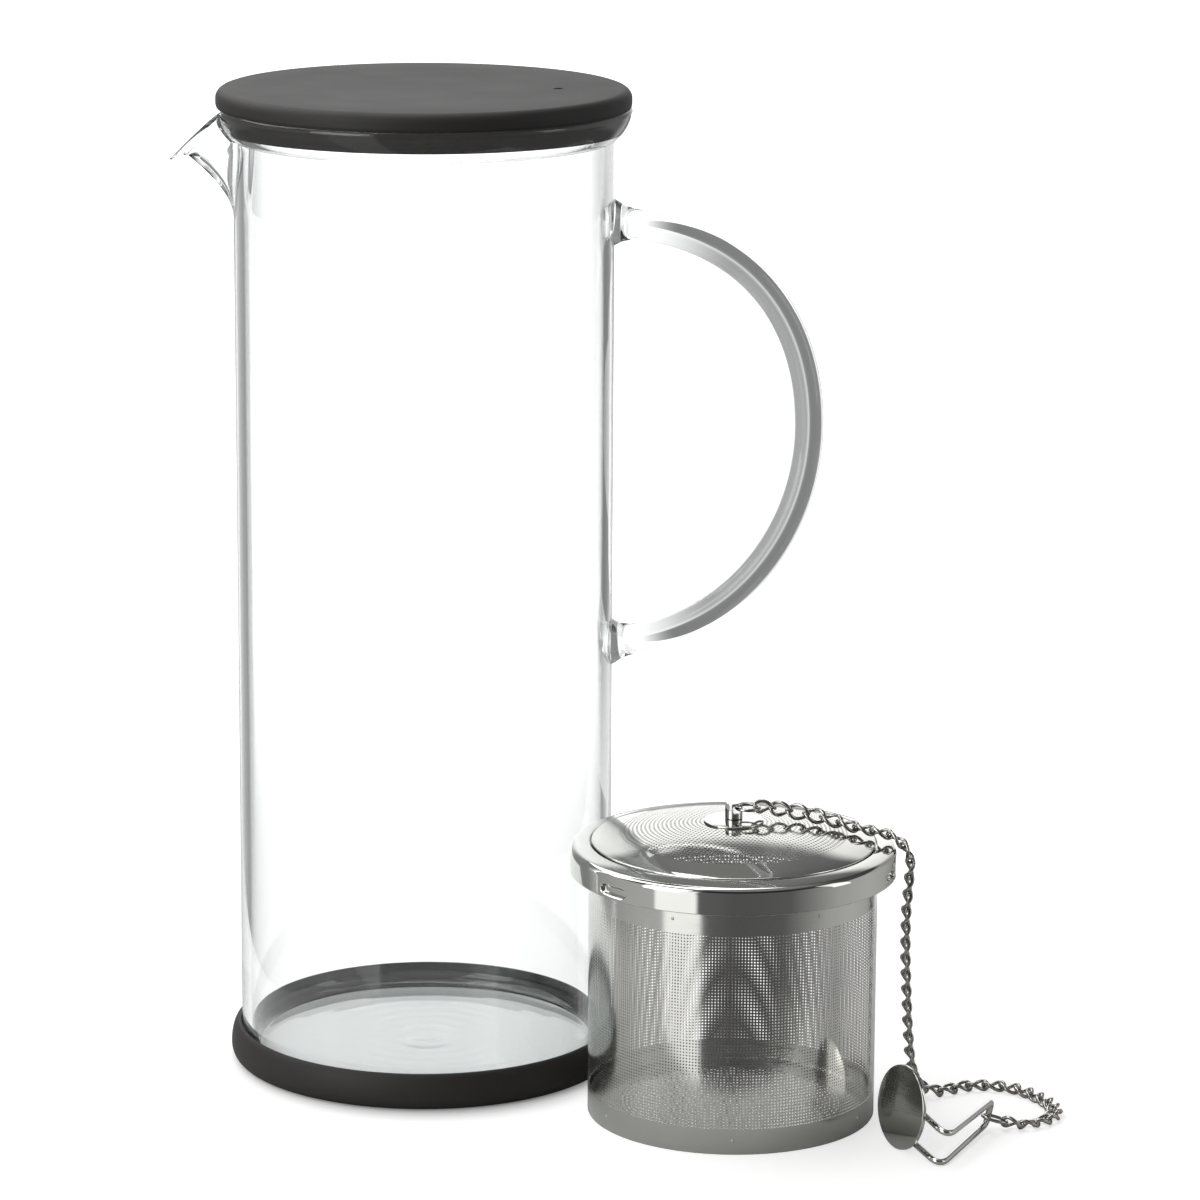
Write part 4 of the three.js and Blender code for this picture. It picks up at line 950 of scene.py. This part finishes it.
# The lid's middle: a plain washer and a turned stud, drilled across for the chain's first ring and riveted
# through washer and screen.
WASHER_HOLE = 1.6
WASHER_RADIUS = 7.5
WASHER_TOP = SCREEN_TOP + 0.7
washer_edge = dome_at(WASHER_RADIUS)
washer = revolve("lid_washer_turned", rounded([
    (WASHER_HOLE, dome_at(WASHER_HOLE) + 0.2, 0), (WASHER_RADIUS, washer_edge + 0.12, 0.05),
    (WASHER_RADIUS, washer_edge + 0.5, 0.12), (WASHER_HOLE, WASHER_TOP, 0.05)], 4), infuser_axis, True, 96)
washer.data.materials.append(polished_steel)
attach(washer, "infuser_lid")
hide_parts("lid_washer")

STUD_RADIUS = 2.2
STUD_SHANK = 1.3
STUD_FOOT = 3.4
STUD_BOTTOM = SCREEN_TOP - 1.65
STUD_FOOT_TOP = SCREEN_TOP - 0.85
STUD_SEAT = WASHER_TOP + 0.05
STUD_TOP = WASHER_TOP + 4.1
STUD_HOLE_LEVEL = STUD_TOP - 1.6
STUD_HOLE_RADIUS = 1.15
STUD_HOLE_OFFSET = 0.7
BORE_REACH = 4
stud = revolve("lid_stud_turned", rounded([
    (0, STUD_BOTTOM, 0), (STUD_FOOT, STUD_BOTTOM, 0.3), (STUD_FOOT, STUD_FOOT_TOP, 0.3),
    (STUD_SHANK, STUD_FOOT_TOP, 0), (STUD_SHANK, STUD_SEAT, 0), (STUD_RADIUS, STUD_SEAT, 0.1),
    (STUD_RADIUS, STUD_TOP, 0.3), (0, STUD_TOP, 0)], 4), infuser_axis, False, 64)
bore_points = [Vector((STUD_HOLE_OFFSET, y, STUD_HOLE_LEVEL)) for y in (-BORE_REACH, BORE_REACH)]
bore = rod("bore", bore_points, [STUD_HOLE_RADIUS] * 2, Vector((1, 0, 0)), infuser_axis, 32)
combine(stud, bore, "DIFFERENCE")
stud.data.materials.append(polished_steel)
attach(stud, "infuser_lid")
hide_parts("lid_stud")

# The chain: forty twisted curb links of stainless wire, between a jump ring in the stud and an end ring on
# the hook. It stands on edge at the stud, drops over the lid's rim and lies in a loop on the table.
LINK_COUNT = 40
LINK_WIRE = 0.95
LINK_WIDTH = 4.4
LINK_PLAY = 0.3
LINK_TWIST = math.radians(112)
STANDING_TURN = 140
STANDING_RUN = 34
END_TURN = 35
END_TURN_RUN = 16
RING_WIRE = 0.85
RING_PLAY = 0.4
JUMP_RING_RADIUS = 2.9
END_RING_LENGTH = 7.2
END_RING_WIDTH = 4.9
# Over the lid: out as a share of the skirt's radius, sideways, and up as a share of the stud's climb
over_lid = [
    (0.015, 0, 1), (0.148, 1.1, 1.01), (0.207, 1.9, 0.98), (0.308, 2.8, 0.89), (0.407, 3.1, 0.81),
    (0.505, 2.7, 0.73), (0.603, 1.9, 0.64), (0.73, 1, 0.495), (0.86, 0.4, 0.385), (0.919, 0.3, 0.333),
    (0.973, 0.2, 0.24),
]
# Down the side: out from the skirt, sideways, and up as a share of the shoulder's height
down_side = [
    (0.8, 0.1, 1.013), (2.2, 0.1, 0.985), (3.1, 0.2, 0.953), (3.4, 0.3, 0.92), (3, 0.7, 0.82),
    (2.7, 1.2, 0.727), (2.8, 2, 0.581), (3.3, 3.2, 0.436), (3.9, 4.3, 0.291), (4.6, 5.4, 0.182),
]
# On the table: out from the skirt, sideways, and height
on_table = [
    (5.2, 6, 9.4), (6.4, 6.8, 6), (8.3, 7.9, 3.4), (11.1, 9.3, 1.8), (14.2, 11.1, 1.3), (17.8, 13.2, 1.3),
    (21.6, 14.6, 1.3), (25.9, 14.7, 1.3), (30, 13.4, 1.3), (33.7, 10.6, 1.3), (36.7, 6.6, 1.3),
    (39.1, 2.2, 1.3), (40.4, -2.6, 1.3), (40.3, -7.2, 1.3), (38.4, -11.2, 1.3), (35.2, -14.2, 1.3),
    (31.4, -15.9, 1.5), (27.4, -16.5, 2.4), (21.6, -16.9, 4),
]
climb = STUD_HOLE_LEVEL - SHOULDER_TOP
knots = [Vector((out * SKIRT_RADIUS, side, SHOULDER_TOP + share * climb)) for out, side, share in over_lid]
knots += [Vector((SKIRT_RADIUS + out, side, share * SHOULDER_TOP)) for out, side, share in down_side]
knots += [Vector((SKIRT_RADIUS + out, side, height)) for out, side, height in on_table]


# The smooth route through the knots, as many short steps and the distance run at each
def smooth_route(points, steps=40):
    ends = [points[0] * 2 - points[1]] + points + [points[-1] * 2 - points[-2]]
    route = []
    for i in range(1, len(ends) - 2):
        leave = (ends[i + 1] - ends[i - 1]) / 2
        arrive = (ends[i + 2] - ends[i]) / 2
        for k in range(steps):
            t = k / steps
            route.append(ends[i] * (2 * t ** 3 - 3 * t ** 2 + 1) + leave * (t ** 3 - 2 * t ** 2 + t)
                         + ends[i + 1] * (3 * t ** 2 - 2 * t ** 3) + arrive * (t ** 3 - t ** 2))
    route.append(points[-1])
    run = [0]
    for a, b in zip(route, route[1:]):
        run.append(run[-1] + (b - a).length)
    return route, run


route, run = smooth_route(knots)
route_length = run[-1]


def route_at(distance):
    i = next((k for k in range(1, len(run)) if run[k] >= distance), len(run) - 1)
    share = (distance - run[i - 1]) / (run[i] - run[i - 1])
    return route[i - 1].lerp(route[i], share), (route[i] - route[i - 1]).normalized()


# A link lies flat on what carries the chain, turned about the chain's own length by a given angle
def link_turn(distance, turn):
    spot, along = route_at(distance)
    up = Vector((-along.z, 0, 1))
    up = (up - along * up.dot(along)).normalized()
    up.rotate(Quaternion(along, turn))
    across = up.cross(along)
    return spot, Matrix((along, across, up)).transposed().to_quaternion()


hold = LINK_WIRE + LINK_PLAY
first_end = 2 * JUMP_RING_RADIUS - hold
last_end = route_length - (END_RING_LENGTH - RING_WIRE) + hold
pitch = (last_end - first_end - hold) / LINK_COUNT
link_length = pitch + hold

# Bright-drawn stainless wire, bent and closed by machine: its colour is painted darker than the sheet's, as
# painted shade for the neighbours that each link mirrors, and it is a little rougher at the drawn skin.
drawn_wire, add = new_material("drawn_stainless_wire")
place = add("ShaderNodeTexCoord").outputs["Object"]
drawing = add("ShaderNodeTexNoise", {"Vector": place, "Scale": 900.0, "Detail": 3.0}).outputs["Fac"]
dull = add("ShaderNodeMapRange", [drawing, 0.3, 0.7, 0.1, 0.22])
# Painted shade: greys darker than the sheet's stand for the neighbouring links' reflections
wire_colour_painted_darker = add("ShaderNodeMix", {
    0: drawing, 6: linear("#bcbab6"), 7: linear("#a09e9a")}, data_type="RGBA")
wire_shader = add("ShaderNodeBsdfPrincipled", {
    "Base Color": wire_colour_painted_darker.outputs[2], "Metallic": 1.0, "Roughness": dull})
add("ShaderNodeOutputMaterial", {"Surface": wire_shader})

chain_tree, add, given = new_tree("curb_chain", {
    "Link Length": "Float", "Link Width": "Float", "Wire": "Float",
    "Twist": "Float", "Material": "Material"})
loop_line = add("GeometryNodeCurvePrimitiveCircle", {"Resolution": 28, "Radius": 1.0})
here = add("GeometryNodeInputPosition")
spot = add("ShaderNodeSeparateXYZ", [here]).outputs
half_twist, half_length, half_width, half_wire = [
    add("ShaderNodeMath", [given[size], 0.5], operation="MULTIPLY")
    for size in ("Twist", "Link Length", "Link Width", "Wire")]
turn = add("ShaderNodeMath", [spot["X"], half_twist], operation="MULTIPLY")
along = add("ShaderNodeMath", [spot["X"], half_length], operation="MULTIPLY")
across = add("ShaderNodeMath", [spot["Y"], half_width], operation="MULTIPLY")
cosine = add("ShaderNodeMath", [turn], operation="COSINE")
sine = add("ShaderNodeMath", [turn], operation="SINE")
flat = add("ShaderNodeMath", [across, cosine], operation="MULTIPLY")
rise = add("ShaderNodeMath", [across, sine], operation="MULTIPLY")
bent = add("ShaderNodeCombineXYZ", [along, flat, rise])
link_line = add("GeometryNodeSetPosition", {"Geometry": loop_line, "Position": bent})
wire_round = add("GeometryNodeCurvePrimitiveCircle", {"Resolution": 10, "Radius": half_wire})
link_wire = add("GeometryNodeCurveToMesh", {"Curve": link_line, "Profile Curve": wire_round})
facing = add("GeometryNodeInputNamedAttribute", {"Name": "link_turn"}, data_type="QUATERNION")
copies = add("GeometryNodeInstanceOnPoints", {
    "Points": given["Geometry"], "Instance": link_wire, "Rotation": facing})
smoothed = add("GeometryNodeSetShadeSmooth", {"Geometry": copies})
end_tree(add, smoothed, given["Material"])

chain = empty_piece("curb_chain")
spots = []
turns = []
for i in range(LINK_COUNT):
    distance = first_end + link_length / 2 + i * pitch
    at_stud = 1 - smooth_step(distance, 0, STANDING_RUN)
    at_end = 1 - smooth_step(last_end - distance, 0, END_TURN_RUN)
    spot, turn = link_turn(distance, math.radians(STANDING_TURN * at_stud + END_TURN * at_end))
    spots.append(infuser_axis + spot * MM)
    turns.append(turn)
chain.data.from_pydata(spots, [], [])
turning = chain.data.attributes.new("link_turn", "QUATERNION", "POINT")
for i, turn in enumerate(turns):
    turning.data[i].value = turn
grow(chain, chain_tree, {
    "Link Length": link_length * MM, "Link Width": (LINK_WIDTH - LINK_WIRE) * MM, "Wire": LINK_WIRE * MM,
    "Twist": LINK_TWIST, "Material": drawn_wire})
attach(chain, "infuser_lid")
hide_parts(*["chain_link_%02d" % (i + 1) for i in range(LINK_COUNT)])

# The chain's two rings of plain stainless wire: a round one through the stud, lying level, and a long one
# at the far end that holds the hook.
RING_STEPS = 48
RING_SIDES = 12
ring_turns = full_turn(RING_STEPS)
ring_radii = [RING_WIRE / 2] * RING_STEPS
upright = Vector((0, 0, 1))
ring_start = route_at(0)[0]
ring_heading = route_at(first_end)[0] - ring_start
ring_heading.z = 0
ring_middle = ring_start + ring_heading.normalized() * JUMP_RING_RADIUS
ring_line = [ring_middle + Vector((math.cos(a), math.sin(a), 0)) * JUMP_RING_RADIUS for a in ring_turns]
jump_ring = rod("jump_ring_wire", ring_line, ring_radii, upright, infuser_axis, RING_SIDES, loop=True)
jump_ring.data.materials.append(drawn_wire)
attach(jump_ring, "infuser_lid")
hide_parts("jump_ring")

end_length = END_RING_LENGTH - RING_WIRE
end_width = END_RING_WIDTH - RING_WIRE
end_spot, end_turn = link_turn(route_length - end_length / 2, 0)
end_line = []
for a in ring_turns:
    point = Vector((end_length / 2 * math.cos(a), end_width / 2 * math.sin(a), 0))
    point.rotate(end_turn)
    end_line.append(end_spot + point)
end_ring = rod("end_ring_wire", end_line, ring_radii, upright, infuser_axis, RING_SIDES, loop=True)
end_ring.data.materials.append(drawn_wire)
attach(end_ring, "infuser_lid")
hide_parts("chain_end_ring")

# The hook: one stainless wire bent to a hairpin and folded to a V that goes over the jug's rim, with a bare
# round plate welded across its two ends as a finger tab. It lies on its side where the chain ends.
HOOK_WIRE = 1.6
HOOK_LONG_LEG = 32
HOOK_SHORT_LEG = 21
HOOK_ANGLE = math.radians(52)
HOOK_SPREAD = 8.6
HOOK_BIGHT = 6.2
HOOK_WAIST = (HOOK_SPREAD + HOOK_BIGHT) / 4 * 1.08
HOOK_FOLD_RUN = 5
HOOK_BIGHT_RUN = 1.6
HOOK_TILT = math.radians(12.7)
HOOK_HEADING = math.radians(65.6)
DISC_RADIUS = 10.5
DISC_THICKNESS = 1
DISC_ALONG = 19.3
REST_GAP = 0.05
hook_level = HOOK_WAIST * math.cos(HOOK_TILT) + HOOK_WIRE / 2 + REST_GAP
hook_turn = Matrix.Rotation(HOOK_HEADING, 3, "Z") @ Matrix.Rotation(HOOK_TILT, 3, "X")
seat = route_at(route_length - (RING_WIRE + HOOK_WIRE) / 2 - RING_PLAY)[0]
hook_place = seat - hook_turn @ Vector((HOOK_LONG_LEG, 0, 0))
hook_place.z = hook_level
short_end = Vector((math.cos(HOOK_ANGLE), math.sin(HOOK_ANGLE), 0)) * HOOK_SHORT_LEG


def hook_leg(side):
    return [short_end + Vector((0, 0, side * HOOK_SPREAD / 2)), Vector((0, 0, side * HOOK_WAIST)),
            Vector((HOOK_LONG_LEG, 0, side * HOOK_BIGHT / 2))]


# Straight runs between points, with each inner corner eased over a given run
def eased(points, eases, steps=12):
    line = [points[0]]
    for before, corner, after, ease in zip(points, points[1:], points[2:], eases):
        start = corner + (before - corner).normalized() * ease
        stop = corner + (after - corner).normalized() * ease
        for k in range(steps + 1):
            t = k / steps
            line.append(start * (1 - t) ** 2 + corner * 2 * t * (1 - t) + stop * t ** 2)
    return line + [points[-1]]


hook_eases = [HOOK_FOLD_RUN, HOOK_BIGHT_RUN, HOOK_BIGHT_RUN, HOOK_FOLD_RUN]
hook_line = eased(hook_leg(-1) + hook_leg(1)[::-1], hook_eases)
hook_line = [hook_place + hook_turn @ point for point in hook_line]
hook_wire = rod("hook_bent_wire", hook_line, [HOOK_WIRE / 2] * len(hook_line), upright, infuser_axis, 16)
hook_wire.data.materials.append(polished_steel)
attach(hook_wire, "hook")
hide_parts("hook_wire")

disc_face = Vector((-math.sin(HOOK_ANGLE), math.cos(HOOK_ANGLE), 0))
lean = disc_face.y * math.sin(HOOK_TILT)
disc_level = DISC_RADIUS * math.sqrt(1 - lean ** 2) + DISC_THICKNESS / 2 * lean + REST_GAP
disc_middle = short_end.normalized() * DISC_ALONG + disc_face * ((HOOK_WIRE + DISC_THICKNESS) / 2 + REST_GAP)
disc_middle.z = (disc_level - hook_level - disc_middle.y * math.sin(HOOK_TILT)) / math.cos(HOOK_TILT)
disc_spot = infuser_axis + (hook_place + hook_turn @ disc_middle) * MM
disc_turn = (hook_turn @ disc_face).to_track_quat("Z", "Y").to_matrix().to_4x4()
half = DISC_THICKNESS / 2
hook_disc = revolve("hook_round_plate", rounded([
    (0, -half, 0), (DISC_RADIUS, -half, 0.25), (DISC_RADIUS, half, 0.25), (0, half, 0)], 4),
    Vector(), False, 128)
hook_disc.data.transform(Matrix.Translation(disc_spot) @ disc_turn)
hook_disc.data.materials.append(polished_steel)
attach(hook_disc, "hook")
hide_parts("hook_disc")
